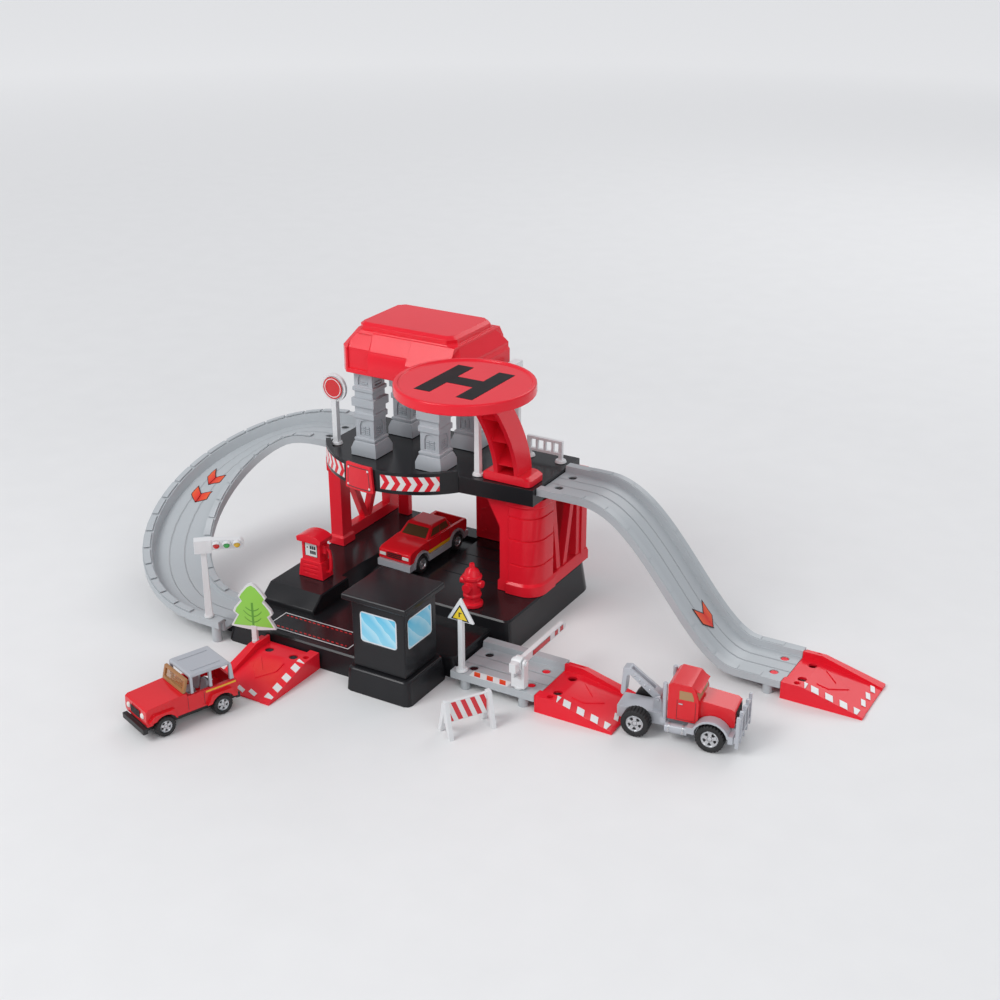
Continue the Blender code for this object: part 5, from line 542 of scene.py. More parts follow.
def plate_frame(finish, u, v):
    """A dark line round a plate of 22 by 16 mm, and the plate's red outside the line."""
    x, y = off(u) * 22.0, off(v) * 16.0
    return [((x > 9.6) | (y > 6.9), (0.02, 0.02, 0.022)), ((x > 10.2) | (y > 7.5), RED)]


sign_angle, sign_low, sign_high = 264.0, 90.6, 106.8
angle, height = np.meshgrid(np.linspace(-8.6, 8.6, 14), np.linspace(sign_low, sign_high, 5))
narrow = 1.0 - (height - sign_low) * 0.0078
sign_face = slab(on_fascia(sign_angle + angle * narrow, height, 2.62), 0.3)
piece("fascia_plate_print", [sign_face], sticker("plate_vinyl", RED, plate_frame))
rivets = []
for turn_by, rise in ((-7.4, 92.6), (7.4, 92.6), (-6.6, 104.8), (6.6, 104.8)):
    spot = on_fascia(np.array(sign_angle + turn_by), rise, 2.7)
    out = spot - np.array([*FASCIA_CENTRE, rise])
    rivets.append(dome(spot, out, 0.8, 0.5, 14))
piece("fascia_plate_rivets", rivets, white)
print("fascia plate with", len(rivets), "rivets")

# %% [markdown]
# Each pillar has an arched recess on all four sides, and in it two columns of thin slats. One slat is
# drawn on the front face, and set_down() turns its copies to the other faces.

# %% Pillar slats
PILLAR_SEAT = TRACK_HIGH + 2.6
PILLARS = [(-42.5, 19.0), (8.5, 19.0), (-42.5, 63.0), (8.5, 63.0)]


def slats(x, y, turn):
    """Slats 0.8 mm high every 1.45 mm, 0.6 mm proud of the recess, 6.2 mm from the pillar's middle."""
    made = []
    for left in (-3.1, 0.35):
        for low in np.arange(14.9, 20.6, 1.45):
            flat = plate(rectangle(left, low, left + 2.75, low + 0.8), 0.6, (0, -6.15, 0))
            made.append(set_down(flat, (x, y, PILLAR_SEAT, turn)))
    arch = plate(rectangle(-3.1, 50.4, 3.1, 51.3), 0.6, (0, -6.15, 0))
    return made + [set_down(arch, (x, y, PILLAR_SEAT, turn))]


pillar_slats = [part for x, y in PILLARS for turn in (0, 90, 180, 270) for part in slats(x, y, turn)]
piece("pillar_slats", pillar_slats, grey)
print("slats", len(pillar_slats))

# %% [markdown]
# Both falling tracks have embossed panels on their flanges and a line of arrows on the floor. Each
# track is a path: the U-turn is a straight, a half circle and a straight, and the slope runs
# straight while its height follows an easing curve. A point is path + sideways offset + lift.

# %% Track paths
CURVE_X, CURVE_Y, CURVE_R = -112.0, -16.0, 60.0
CURVE_LEAD = 31.7
CURVE_LENGTH = CURVE_LEAD + math.pi * CURVE_R + 26.3
SLOPE_Y, SLOPE_START, SLOPE_END = 43.0, 112.0, 224.0
PLATE_Y = -46.0


def floor_height(share):
    """A track floor's height after a share s of its fall, eased by 3 s squared - 2 s cubed."""
    share = np.clip(share, 0.0, 1.0)
    return TRACK_HIGH - (TRACK_HIGH - TRACK_LOW) * share * share * (3.0 - 2.0 * share)


def on_curve(run, out, lift):
    """A point run mm along the U-turn, out mm to its outer side and lift mm above its floor."""
    angle = np.clip((run - CURVE_LEAD) / CURVE_R, 0.0, np.pi)
    past = np.maximum(CURVE_LEAD - run, 0.0) + np.maximum(run - CURVE_LEAD - np.pi * CURVE_R, 0.0)
    x = CURVE_X - (CURVE_R + out) * np.sin(angle) + past
    y = CURVE_Y + (CURVE_R + out) * np.cos(angle)
    return np.stack([x, y, floor_height((run - 9.0) / (CURVE_LENGTH - 25.0)) + lift], -1)


def on_slope(run, out, lift):
    """A point at x = run on the slope, out mm to its far side and lift mm above its floor."""
    share = np.clip((run - SLOPE_START) / (SLOPE_END - SLOPE_START), 0.0, 1.0)
    return np.stack([run + 0.0 * out, SLOPE_Y + out + 0.0 * run, floor_height(share ** 1.15) + lift], -1)


def laid(place, top, run, out, lift):
    """Points at run and out on a path, lift mm above a node's top."""
    x, y = np.moveaxis(place(run, out, 0.0 * run)[..., :2], -1, 0)
    return np.stack([x, y, top(x, y) + lift], -1)


def panels(place, top, start, end, pitch, length, inner, outer):
    """Raised panels along a flange: a small grid for each, length long, every pitch."""
    made = []
    for first in np.arange(start, end - length, pitch):
        run, out = np.meshgrid(np.linspace(first, first + length, 6), np.linspace(inner, outer, 3))
        made.append(slab(laid(place, top, run, out, 0.35), 0.8))
    return made


curve_top = ground("left_curve_track")
slope_top = ground("right_slope_track")
track_grey = plastic("track_grey_satin", TRACK_GREY, gloss=0.34)
outer_panels = panels(on_curve, curve_top, 14.0, 226.0, 11.0, 9.8, 17.8, 22.2)
inner_panels = panels(on_curve, curve_top, 16.0, 226.0, 15.5, 14.2, -22.2, -17.8)
piece("curve_flange_panels", outer_panels + inner_panels, track_grey)
slope_panels = panels(on_slope, slope_top, 101.0, 242.0, 15.6, 14.9, -22.4, -17.6)
far_panels = panels(on_slope, slope_top, 101.0, 242.0, 15.6, 14.9, 17.6, 22.4)
piece("slope_flange_panels", slope_panels + far_panels, track_grey)
print("panels", len(outer_panels) + len(inner_panels), "and", len(slope_panels) + len(far_panels))

# %% [markdown]
# Red arrows point down each fall. Two thin strips laid on the real floor follow its slope, which a
# flat print would not.

# %% Arrows on the track floors
def arrow(place, top, run, reach, length):
    """Two leaning strips that meet on the middle line: run + lean times |out|."""
    made = []
    for side in (-1, 1):
        along, out = np.meshgrid(np.linspace(0, length, 5), np.linspace(0, side * reach, 5))
        made.append(slab(laid(place, top, run + along - 0.6 * np.abs(out), out, 0.25), 0.4))
    return made


def arrow_marks(finish, u, v):
    edge = (off(u) > 0.42) | (v > 0.93)
    return [(v, (0.80, 0.11, 0.03)), (edge, (0.05, 0.01, 0.01))]


arrows = [strip for run in (106.0, 120.0) for strip in arrow(on_curve, curve_top, run, 7.5, 7.0)]
arrows += arrow(on_slope, slope_top, 192.0, 7.5, 8.0)
piece("track_arrows", arrows, sticker("arrow_vinyl", (0.72, 0.03, 0.02), arrow_marks))
print("arrows", len(arrows) // 2)

# %% [markdown]
# The grey tracks get shallow grooves along their floors. A groove is too fine to be worth a solid,
# so the finish works out each point's distance from the track's middle line and turns it into bump,
# and into a darker grey in the groove as painted shade.

# %% Grooved grey for the tracks
def grooved(name, distance, spacing):
    """Grey plastic with two grooves spacing mm from the middle line, 1 mm wide, bumped and darkened with
    painted shade.
    """
    finish = Finish(name)
    flow = finish.noise(38.0, 3.0)
    fine = finish.noise(2.4, 2.0)
    away = abs(abs(distance(finish)) - spacing)
    groove = finish.clamp(1.0 - away / 0.75)
    tint = finish.mix(flow, scaled(TRACK_GREY, 0.95), scaled(TRACK_GREY, 1.05))
    # Painted shade: the groove's colour is darkened towards half the grey.
    tint = finish.mix(groove * 0.35, tint, scaled(TRACK_GREY, 0.5))
    rough = 0.34 + (finish.noise(14.0, 3.0) - 0.5) * 0.1
    return finish.close(tint, rough, fine * 0.04 - groove, strength=0.9, distance=0.5)


def from_curve(finish):
    """Distance from the U-turn's middle line: the root of min(dx, 0) squared + dy squared, less R."""
    x, y = finish.place()
    return finish.reach((x - CURVE_X) & 0.0, y - CURVE_Y) - CURVE_R


def from_line(middle):
    """The distance from the line y = middle, as a function of the finish."""
    return lambda finish: finish.place()[1] - middle


for node, name, distance in (("left_curve_track", "curve_track_grey", from_curve),
                             ("right_slope_track", "slope_track_grey", from_line(SLOPE_Y)),
                             ("exit_plate", "exit_plate_grey", from_line(PLATE_Y))):
    dress(node, grooved(name, distance, 5.2))
print("grooves on the tracks and the exit plate")

# %% [markdown]
# The red ramps carry white slanted blocks on the near flange, between two white triangles, and a row
# of slanted bars across the tip. Each block is laid on the ramp's real surface.

# %% Ramp stripes
def ramp_stripes(node, x, y, turn, flip):
    """White blocks on one ramp, measured along from its joint and across to its near side."""
    top = ground(node)
    ahead = np.array([math.cos(math.radians(turn)), math.sin(math.radians(turn))])
    near = np.array([ahead[1], -ahead[0]]) * flip

    def block(first, second, inner, outer, taper=1.0):
        """A block between two distances along, its far end shortened by taper."""
        share, across = np.meshgrid(np.linspace(0, 1, 4), np.linspace(inner, outer, 4))
        lean = (across - inner) / (outer - inner)
        along = first + (second - first) * share * (1 + (taper - 1) * lean) + 2.2 * lean
        spot = np.array([x, y]) + along[..., None] * ahead + across[..., None] * near
        return slab(np.concatenate([spot, (top(spot[..., 0], spot[..., 1]) + 0.2)[..., None]], -1), 0.35)

    made = [block(start, start + 4.8, 16.9, 22.7) for start in (17.0, 26.2, 35.4)]
    made += [block(12.7, 15.2, 16.9, 22.7, 0.2), block(44.4, 48.6, 16.9, 22.7, 0.45)]
    made += [block(44.8, 47.6, start, start + 6.2) for start in np.arange(-14.4, 9.0, 9.2)]
    piece(node + "_stripes", made, sticker(node + "_vinyl", (0.78, 0.78, 0.78)))


ramp_stripes("front_ramp", -33.5, -91.7, 270.0, -1.0)
ramp_stripes("exit_ramp", 132.0, PLATE_Y, 0.0, 1.0)
ramp_stripes("right_end_ramp", 254.3, SLOPE_Y, 0.0, 1.0)
print("three ramps striped")

# %% [markdown]
# Beside its channel the exit plate has a sticker of slanted bars, worked out from u and v.

# %% Exit plate sticker
def plate_bars(finish, u, v):
    """Bars where (27 u + 3.4 v + 5.4) passes the first half of each 9 mm, darker at their lower end."""
    bar = ((u * 27.0 + v * 3.4 + 5.4) % 9.0) < 4.4
    margin = (off(u) < 0.47) * (off(v) < 0.40)
    shade = finish.mix(v, (0.70, 0.02, 0.02), (0.86, 0.13, 0.03))
    return [(bar * margin, shade)]


across, along = np.meshgrid(np.linspace(-68.6, -62.5, 3), np.linspace(86.0, 113.0, 3))
bars_top = np.stack([along, across, 0.0 * along + 11.62], -1).transpose(1, 0, 2)
piece("exit_plate_sticker", [slab(bars_top, 0.25)],
      sticker("exit_plate_vinyl", (0.80, 0.80, 0.80), plate_bars))
print("exit plate sticker laid")

# %% [markdown]
# The landing disc carries the usual landing mark, a plain black letter H, as a thin cut sticker.

# %% Landing mark
PAD_CENTRE = np.array([62.0, -30.0, 185.5])
inner, outer, reach, bar = 9.0, 20.0, 25.0, 6.0
half = [(inner, -bar), (inner, -reach), (outer, -reach), (outer, reach), (inner, reach), (inner, bar)]
H_MARK = half + [(-x, -y) for x, y in half]
mark_vinyl = sticker("landing_mark_vinyl", (0.008, 0.006, 0.007), gloss=0.45, Specular_IOR_Level=0.15)
piece("landing_mark", [plate(H_MARK, 0.12, PAD_CENTRE, (1, 0, 0), (0, 1, 0))], mark_vinyl)
print("landing mark laid")

# %% [markdown]
# The booth's windows are stickers too: a pale blue sky that gets lighter towards the top, slanted
# streaks like a reflection in glass, and a white frame with rounded corners.

# %% Booth windows
def sky(finish, u, v):
    """Blue that pales upwards, shine where a slanted wavy phase passes its middle, and a frame."""
    streak = (u * 1.1 + v * 0.9 + finish.noise(16.0, 2.0) * 0.5) % 0.5
    shine = finish.clamp((streak - 0.22) * 3.0) * 0.7
    edge = (off(u) > 0.465) | (off(v) > 0.455)
    return [(v, (0.12, 0.55, 0.80)), (shine, (0.62, 0.86, 0.95)), (edge, (0.72, 0.76, 0.80))]


low, middle, high = corners("booth_walls")
sky_vinyl = sticker("window_vinyl", (0.30, 0.68, 0.86), sky, gloss=0.08)
window = rounded(26.6, 20.6, 2.4)
window_height = low[2] + 28.5
windows = [plate(window, 0.2, (middle[0], low[1] + 0.75, window_height)),
           plate(window, 0.2, (high[0] - 0.75, middle[1], window_height), (0, 1, 0))]
piece("booth_windows", windows, sky_vinyl)
print("booth windows", len(windows))

# %% [markdown]
# The apron's black sticker has a white line near its edge and red dashes cut from one slanted phase.

# %% Apron sticker
APRON_WIDE, APRON_DEEP = 66.0, 22.0


def apron_marks(finish, u, v):
    """A white line 1 mm inside the edge, and two rows of slanted red dashes."""
    x, y = off(u) * APRON_WIDE, off(v) * APRON_DEEP
    line = (inside(x, 31.4, 32.1) * (y < 10.0)) | (inside(y, 9.3, 10.0) * (x < 32.1))
    dash = ((u * APRON_WIDE + v * APRON_DEEP) % 3.6) < 2.0
    dash = dash * inside(y, 6.6, 7.8) * (x < 29.0)
    return [(line, (0.75, 0.75, 0.76)), (dash, (0.60, 0.02, 0.02))]


apron_vinyl = sticker("apron_vinyl", (0.014, 0.014, 0.016), apron_marks)
apron = plate(rounded(APRON_WIDE, APRON_DEEP, 3.0), 0.15, (-26.5, -73.0, 14.0), (1, 0, 0), (0, 1, 0))
piece("apron_sticker", [apron], apron_vinyl)
print("apron sticker laid")

# %% [markdown]
# The signs carry flat prints: a red disc with a white ring, a yellow warning triangle with a bend,
# and a fir whose darker twigs are curves in the print's own u and v.

# %% Signs
def disc_marks(finish, u, v):
    return [(inside(finish.reach(u - 0.5, v - 0.5), 0.40, 0.435), (0.76, 0.76, 0.76))]


def triangle_marks(finish, u, v):
    """A border where the distance to the nearest side is small, and a bent stroke in the middle."""
    side = (1.0 - v - off(u) * 2.0) * 0.5
    border = (side < 0.07) | (v < 0.07)
    stem = inside(v, 0.20, 0.50) * (off(u, 0.46) < 0.035)
    bend = inside(v, 0.43, 0.50) * inside(u, 0.43, 0.60)
    return [(border | stem | bend, (0.015, 0.015, 0.015))]


def tree_marks(finish, u, v):
    """A trunk, and twigs where v is near a height plus 2.6 times the distance from the trunk squared."""
    away = off(u)
    twigs = (away < 0.028) * (v < 0.58)
    for height, reach in ((0.10, 0.21), (0.24, 0.23), (0.38, 0.17)):
        twigs = twigs | ((abs(v - height - 2.6 * away * away) < 0.014) * (away < reach))
    return [(twigs * (v > 0.015), (0.12, 0.36, 0.05))]


def fir(half, base, top):
    """Half a fir's outline as shares of its half width and height, mirrored to a whole one."""
    shares = [(1.0, 0.05), (0.9, 0.14), (0.7, 0.29), (0.88, 0.36), (0.80, 0.45), (0.5, 0.62), (0.62, 0.70),
              (0.5, 0.79), (0.2, 0.95), (0.0, 1.0)]
    right = [(half * x, base + (top - base) * z) for x, z in shares]
    return right + [(-x, z) for x, z in reversed(right[:-1])]


low, middle, high = corners("round_sign")
radius = (high[0] - low[0]) / 2
around = np.linspace(0, 2 * np.pi, 40)[:-1]
disc = 0.78 * radius * np.stack([np.cos(around), np.sin(around)], -1)
piece("round_sign_print", [plate(disc, 0.3, (middle[0], low[1] + 2.0, high[2] - radius))],
      sticker("round_sign_vinyl", (0.66, 0.015, 0.02), disc_marks), "round_sign")

low, middle, high = corners("triangle_sign")
face = [(-6.4, high[2] - 14.6), (6.4, high[2] - 14.6), (0.0, high[2] - 3.9)]
piece("triangle_sign_print", [plate(face, 0.25, (middle[0], middle[1] - 1.05, 0.0))],
      sticker("triangle_vinyl", (0.86, 0.62, 0.03), triangle_marks), "triangle_sign")

dress("tree_sign", white)
TREE_SPOT = (-53.9, -100.7, 0.0, 18.0)
tree_vinyl = sticker("tree_vinyl", (0.30, 0.68, 0.10), tree_marks)
firs = [set_down(part, TREE_SPOT) for part in both_sides(1.15, fir(13.2, 22.2, 52.4), 0.25)]
piece("tree_print", firs, tree_vinyl, "tree_sign")
print("three signs printed")

# %% [markdown]
# The fuel pump has a white display with two rows of dark digit blocks. The barrier and the
# barricade carry red bars, and a bar's edge is where u along the board passes a whole pitch.

# %% Pump display, barrier and barricade
def display_marks(finish, u, v):
    """A dark edge, two rows of blocks split by narrow gaps, and a small block on the left."""
    edge = (off(u) > 0.47) | (off(v) > 0.47)
    rows = inside(v, 0.56, 0.82) | inside(v, 0.20, 0.46)
    digits = rows * inside(u, 0.38, 0.88) * (((u - 0.38) % 0.17) > 0.025)
    mark = inside(u, 0.14, 0.24) * inside(v, 0.60, 0.72)
    return [(edge | digits | mark, (0.015, 0.015, 0.018))]


display = plate(rectangle(-66.0, 40.5, -56.0, 50.1), 0.5, (0, -29.2, 0))
piece("pump_display", [display], sticker("display_vinyl", (0.80, 0.81, 0.80), display_marks, gloss=0.12))

ARM_X, ARM_HALF_THICK = 120.0, 1.45
bars = []
for near, far in ((-52.0, -30.0), (-24.0, -20.0), (-17.0, -13.0)):
    for side, left, right in ((1, near, far), (-1, -far, -near)):
        bars.append(plate(rectangle(left, 27.2, right, 30.8), 0.15, (ARM_X + side * ARM_HALF_THICK, 0, 0),
                          (0, side, 0)))


def arm_marks(finish, u, v):
    return [((off(u) > 0.48) | (off(v) > 0.42), (0.10, 0.01, 0.012))]


piece("barrier_bars", bars, sticker("barrier_vinyl", (0.60, 0.02, 0.03), arm_marks),
      "barrier_arm")


def board_marks(finish, u, v):
    return [(((u * 24.6 + v * 5.0) % 6.2) < 3.1, (0.64, 0.02, 0.03))]


BARRICADE_SPOT = (107.0, -105.0, 0.0, 58.0)
sheets = [set_down(part, BARRICADE_SPOT) for part in both_sides(0.95, rectangle(-12.3, 8.7, 12.3, 21.3))]
piece("barricade_bars", sheets, sticker("barricade_vinyl", (0.78, 0.78, 0.78), board_marks))
print("display, barrier and barricade printed")

# %% [markdown]
# Lamps have lenses. A lens is a low dome of tinted plastic, and each traffic lamp sits under a hood,
# a bent sheet that follows part of a circle round the lens.

# %% Lenses and hoods
def lens_finish(name, colour):
    """Smooth tinted plastic under a clear coat."""
    return plastic(name, colour, gloss=0.07, streak=0.14, Coat_Weight=0.5)


def hood(x, y, z, radius, long):
    """A bent sheet: (x + r cos a, y - t, z + r sin a) for a from 15 to 165 degrees and t up to long."""
    angle, out = np.meshgrid(np.radians(np.linspace(15, 165, 13)), np.linspace(0, long, 4))
    ease_out = out * (0.55 + 0.45 * np.sin(angle))
    return slab(np.stack([x + radius * np.cos(angle), y - ease_out, z + radius * np.sin(angle)], -1), 0.5)


TRAFFIC_SPOT = (-96.0, -95.5, 0.0, 40.0)
LENS_HEIGHT = 68.2
LENSES = {"red": (8.5, (0.72, 0.02, 0.02)), "green": (15.0, (0.05, 0.45, 0.10)),
          "yellow": (21.5, (0.86, 0.52, 0.03))}
for name, (x, tint) in LENSES.items():
    lens = set_down(dome((x, -3.8, LENS_HEIGHT), (0, -1, 0), 2.1, 1.1), TRAFFIC_SPOT)
    piece(f"traffic_lens_{name}", [lens], lens_finish(f"lens_{name}", tint),
          "traffic_light")
hoods = [set_down(hood(x, -3.0, LENS_HEIGHT, 2.9, 3.4), TRAFFIC_SPOT) for x, _ in LENSES.values()]
piece("traffic_hoods", hoods, white, "traffic_light")

warm = lens_finish("lens_warm", (0.80, 0.76, 0.62))
for node, x, y in (("lamp_post_front", 39.6, 21.0), ("lamp_post_back", 42.6, 67.0)):
    glass = [set_down(dome((shift, -3.6, 164.8), (0, -1, 0), 1.6, 0.7), (x, y, 0.0, 90.0))
             for shift in (-10.5, -6.0)]
    piece(node + "_lenses", glass, warm, node)
print("lenses and hoods in place")

# %% [markdown]
# A die-cast car rolls on vinyl tyres with pressed-in silver hubs. The tyre is a surface of
# revolution whose radius drops wherever the sine of lugs times the angle is low, and the hub is a
# ring, five waisted spokes and a cap. Each pair replaces its plain CAD axle and spins with it.

# %% Wheels
RIM_SHARE = 0.62


def tyre_part(x, radius, width, outer, side, depth):
    """A tyre with a lugged tread, turned about the axle."""
    rim = radius * RIM_SHARE
    lugs = round(radius * 3.0)

    def tread(r, a):
        return -depth * (r > radius - 0.2) * (np.sin(lugs * a) < -0.3)

    profile = [(0.0, 0.0), (rim, 0.1), (radius - 0.7, 0.1), (radius, 0.9), (radius, width * 0.5),
               (radius, width - 0.9), (radius - 0.7, width - 0.1), (rim + 0.5, width), (rim, width - 0.5),
               (rim, width - 1.9), (0.0, width - 1.9)]
    return turned(profile, 6 * lugs, (x, side * (outer - width), radius), (0, side, 0), tread)


def hub_parts(x, radius, outer, side):
    """A ring, five spokes and a cap inside the tyre's rim."""
    rim = radius * RIM_SHARE
    back = outer - 1.9
    ring = [(rim * 0.76, 0.0), (rim - 0.05, 0.0), (rim - 0.05, 1.2), (rim * 0.90, 1.5), (rim * 0.76, 1.0),
            (rim * 0.76, 0.0)]
    parts = [turned(ring, 32, (x, side * back, radius), (0, side, 0)),
             dome((x, side * (back + 0.9), radius), (0, side, 0), rim * 0.26, 0.5, 16)]
    half = [(0.0, 0.30), (0.34, 0.22), (0.52, 0.17), (0.66, 0.22), (0.80, 0.44)]
    spoke = rim * np.array([(a, -b) for a, b in half] + half[::-1])
    for angle in np.radians(np.arange(90, 450, 72)):
        out = (math.cos(angle), 0.0, math.sin(angle))
        across = (side * math.sin(angle), 0.0, -side * math.cos(angle))
        parts.append(plate(spoke, 0.9, (x, side * (back + 0.1), radius), out, across))
    return parts


CAR_SPOTS = {"open_car": (-48.0, -177.0, 0.0, 250.0), "truck": (216.0, -44.5, 0.0, 8.0),
             "pickup": (-20.0, 45.0, 19.3, 268.0)}
# Each car's wheelbase, its tyres' radius and width, half its track and the depth of the tread.
WHEELS = {"open_car": (38.0, 6.5, 6.0, 15.0, 0.35), "truck": (45.0, 8.75, 8.0, 17.0, 0.7),
          "pickup": (43.0, 6.5, 5.5, 14.5, 0.35)}


def fit(name, car, parts, material, body="garage", bevel=0.0):
    """One piece from parts in a car's own frame, set down where the car stands."""
    return piece(name, [set_down(part, CAR_SPOTS[car]) for part in parts], material, body, bevel)


hub_silver = plastic("hub_silver", (0.60, 0.61, 0.63), gloss=0.24, streak=0.04, Metallic=0.7)
tyre_tread = plastic("tyre_vinyl_matte", (0.010, 0.010, 0.011), gloss=0.55, peel=0.12)
for car, (wheelbase, radius, width, outer, depth) in WHEELS.items():
    for end, x in (("front", wheelbase / 2), ("rear", -wheelbase / 2)):
        body = f"{car}_{end}_axle"
        rod = [(0.0, 1.0 - outer), (1.0, 1.0 - outer), (1.0, outer - 1.0), (0.0, outer - 1.0)]
        tyres = [tyre_part(x, radius, width, outer, side, depth) for side in (-1, 1)]
        tyres.append(turned(rod, 16, (x, 0, radius), (0, 1, 0)))
        rubber = fit(body + "_tyres", car, tyres, tyre_tread, body)
        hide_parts(body)
        hubs = [part for side in (-1, 1) for part in hub_parts(x, radius, outer, side)]
        fit(body + "_hubs", car, hubs, hub_silver, body)
print("wheels on", len(WHEELS), "cars")

# %% [markdown]
# Glass, lights and prints on the three cars are worked out in each car's own frame, front to +X, and
# then set down where the car stands. A pane on a sloping side is the straight-line blend of the
# side's lower and upper edge, moved a tenth of a millimetre off the side.

# %% Panes and patches on the cars
def pane(lower, upper, start, end, low, high, out=0.12):
    """A patch between shares start..end along and low..high up a face with straight lower and upper
    edges: point = (1 - t) lower(s) + t upper(s)."""
    s, t = np.meshgrid(np.linspace(start, end, 3), np.linspace(low, high, 3))
    lower, upper = np.asarray(lower, float), np.asarray(upper, float)
    near = lower[0] + s[..., None] * (lower[1] - lower[0])
    far = upper[0] + s[..., None] * (upper[1] - upper[0])
    points = near + t[..., None] * (far - near)
    normal = np.cross(lower[1] - lower[0], upper[0] - lower[0])
    return slab(points + out * normal / np.linalg.norm(normal), 0.3)


def upright_seams(y, low, high, places):
    """Thin lines from low to high at each x of places, on both sides."""
    return [line for x in places for line in both_sides(y, rectangle(x - 0.15, low, x + 0.15, high), 0.12)]


def front_patch(x, outline, thick=0.2):
    """A flat patch on a car's front face, given as (y, z) points."""
    return plate(outline, thick, (x - 0.05, 0, 0), (0, 1, 0))


smoked = plastic("smoked_window", (0.09, 0.045, 0.02), gloss=0.06, streak=0.35, Coat_Weight=0.5)
amber = plastic("tan_window", (0.40, 0.22, 0.09), gloss=0.08, streak=0.25, Coat_Weight=0.4)
lamp_white = lens_finish("headlamp_lens", (0.74, 0.74, 0.70))
dark_trim = plastic("dark_trim", (0.014, 0.013, 0.014), gloss=0.4)
# Dark red seam lines: painted shade in the grooves of the door seams.
seam_shade = plastic("door_seam_shade", (0.16, 0.004, 0.006), gloss=0.5)
yellow_band = plastic("yellow_band", (0.80, 0.42, 0.02), gloss=0.2)
print("panes, patches and trim finishes ready")

# %% [markdown]
# The pickup has smoked windows, yellow bands, door seams drawn as dark red lines of painted shade,
# lamps and a grille. Its cabin leans in, so each pane is blended between the cabin's lower and upper rim.

# %% Pickup trim
PICKUP_SIDE = 13.05
lower = [(x, y, 18.6) for x, y in rectangle(-17.0, -12.3, 14.6, 12.3)]
upper = [(x, y, 26.6) for x, y in rectangle(-13.4, -10.1, 4.6, 10.1)]


def cabin_side(first, second):
    """The lower and upper edge of the cabin between two of its corners."""
    return [lower[first], lower[second]], [upper[first], upper[second]]


back_right, front_right, front_left, back_left = range(4)
panes = [pane(*cabin_side(back_left, front_left), start, end, 0.30, 0.86, -0.12)
         for start, end in ((0.10, 0.46), (0.50, 0.88))]
panes += [pane(*cabin_side(front_right, back_right), start, end, 0.30, 0.86, -0.12)
          for start, end in ((0.54, 0.90), (0.12, 0.50))]
panes.append(pane(*cabin_side(front_right, front_left), 0.08, 0.92, 0.26, 0.90))
panes.append(pane(*cabin_side(back_left, back_right), 0.12, 0.88, 0.32, 0.88))
fit("pickup_windows", "pickup", panes, smoked)
band = [(-12.3, 10.6), (12.3, 10.6), (13.6, 12.8), (-13.6, 12.8)]
fit("pickup_bands", "pickup", both_sides(PICKUP_SIDE, band), yellow_band)
# The seam lines carry painted shade.
lines = upright_seams(PICKUP_SIDE, 12.9, 19.0, (-13.0, -1.6, 11.4))
fit("pickup_seams", "pickup", lines, seam_shade)
lights = [front_patch(35.0, rectangle(y - 2.6, 13.4, y + 2.6, 15.6), 0.5) for y in (-9.4, 9.4)]
fit("pickup_headlamps", "pickup", lights, lamp_white, bevel=0.15)
bars = [front_patch(35.0, rectangle(-6.0, z, 6.0, z + 0.7), 0.4) for z in (12.9, 14.3, 15.7)]
fit("pickup_grille", "pickup", bars, dark_trim)
print("pickup trimmed")

# %% [markdown]
# The tow truck has amber windows, an upright grille, handles and tank bands in silver, and rivets
# that tilt with its boom.

# %% Tow truck trim
TRUCK_SIDE = 11.55
outline = [(2.4, 28.6), (11.0, 28.6), (11.0, 30.6), (9.6, 34.2), (2.4, 34.2)]
panes = both_sides(TRUCK_SIDE, outline, 0.15)
slope = ([(14.0, -11.6, 28.2), (14.0, 11.6, 28.2)], [(11.6, -11.6, 35.6), (11.6, 11.6, 35.6)])
panes += [pane(*slope, 0.08, 0.48, 0.12, 0.78), pane(*slope, 0.52, 0.92, 0.12, 0.78)]
panes.append(plate(rectangle(-6.0, 29.0, 6.0, 34.0), 0.15, (-4.35, 0, 0), (0, -1, 0)))
fit("truck_windows", "truck", panes, amber)
# The seam lines carry painted shade.
lines = upright_seams(TRUCK_SIDE, 15.4, 28.0, (1.2, 12.2))
lines += both_sides(TRUCK_SIDE, rectangle(1.2, 15.2, 12.2, 15.5), 0.12)
fit("truck_seams", "truck", lines, seam_shade)
bars = [front_patch(35.0, rectangle(y - 0.35, 16.6, y + 0.35, 24.4), 0.4)
        for y in np.arange(-6.0, 6.1, 1.5)]
fit("truck_grille", "truck", bars, dark_trim)
fittings = both_sides(TRUCK_SIDE, rectangle(2.2, 25.4, 4.6, 26.1), 0.6)
ring = [(3.02, -0.5), (3.25, -0.5), (3.25, 0.5), (3.02, 0.5), (3.02, -0.5)]
fittings += [turned(ring, 24, (x, y, 9.15), (1, 0, 0)) for x in (-2.4, 6.1) for y in (-12.6, 12.6)]
fit("truck_fittings", "truck", fittings, hub_silver)
rivets = [dome((-12.1 - 18.1 * along, side * 3.35, 21.1 + 14.1 * along), (0, side, 0), 0.7, 0.45, 16)
          for along in (0.30, 0.48, 0.66, 0.84) for side in (-1, 1)]
fit("truck_boom_rivets", "truck", rivets, hub_silver, "truck_boom")
print("tow truck trimmed")

# %% [markdown]
# The open car has clear tan glass, round headlamps, yellow bands, two seats and a ribbed panel above
# them.

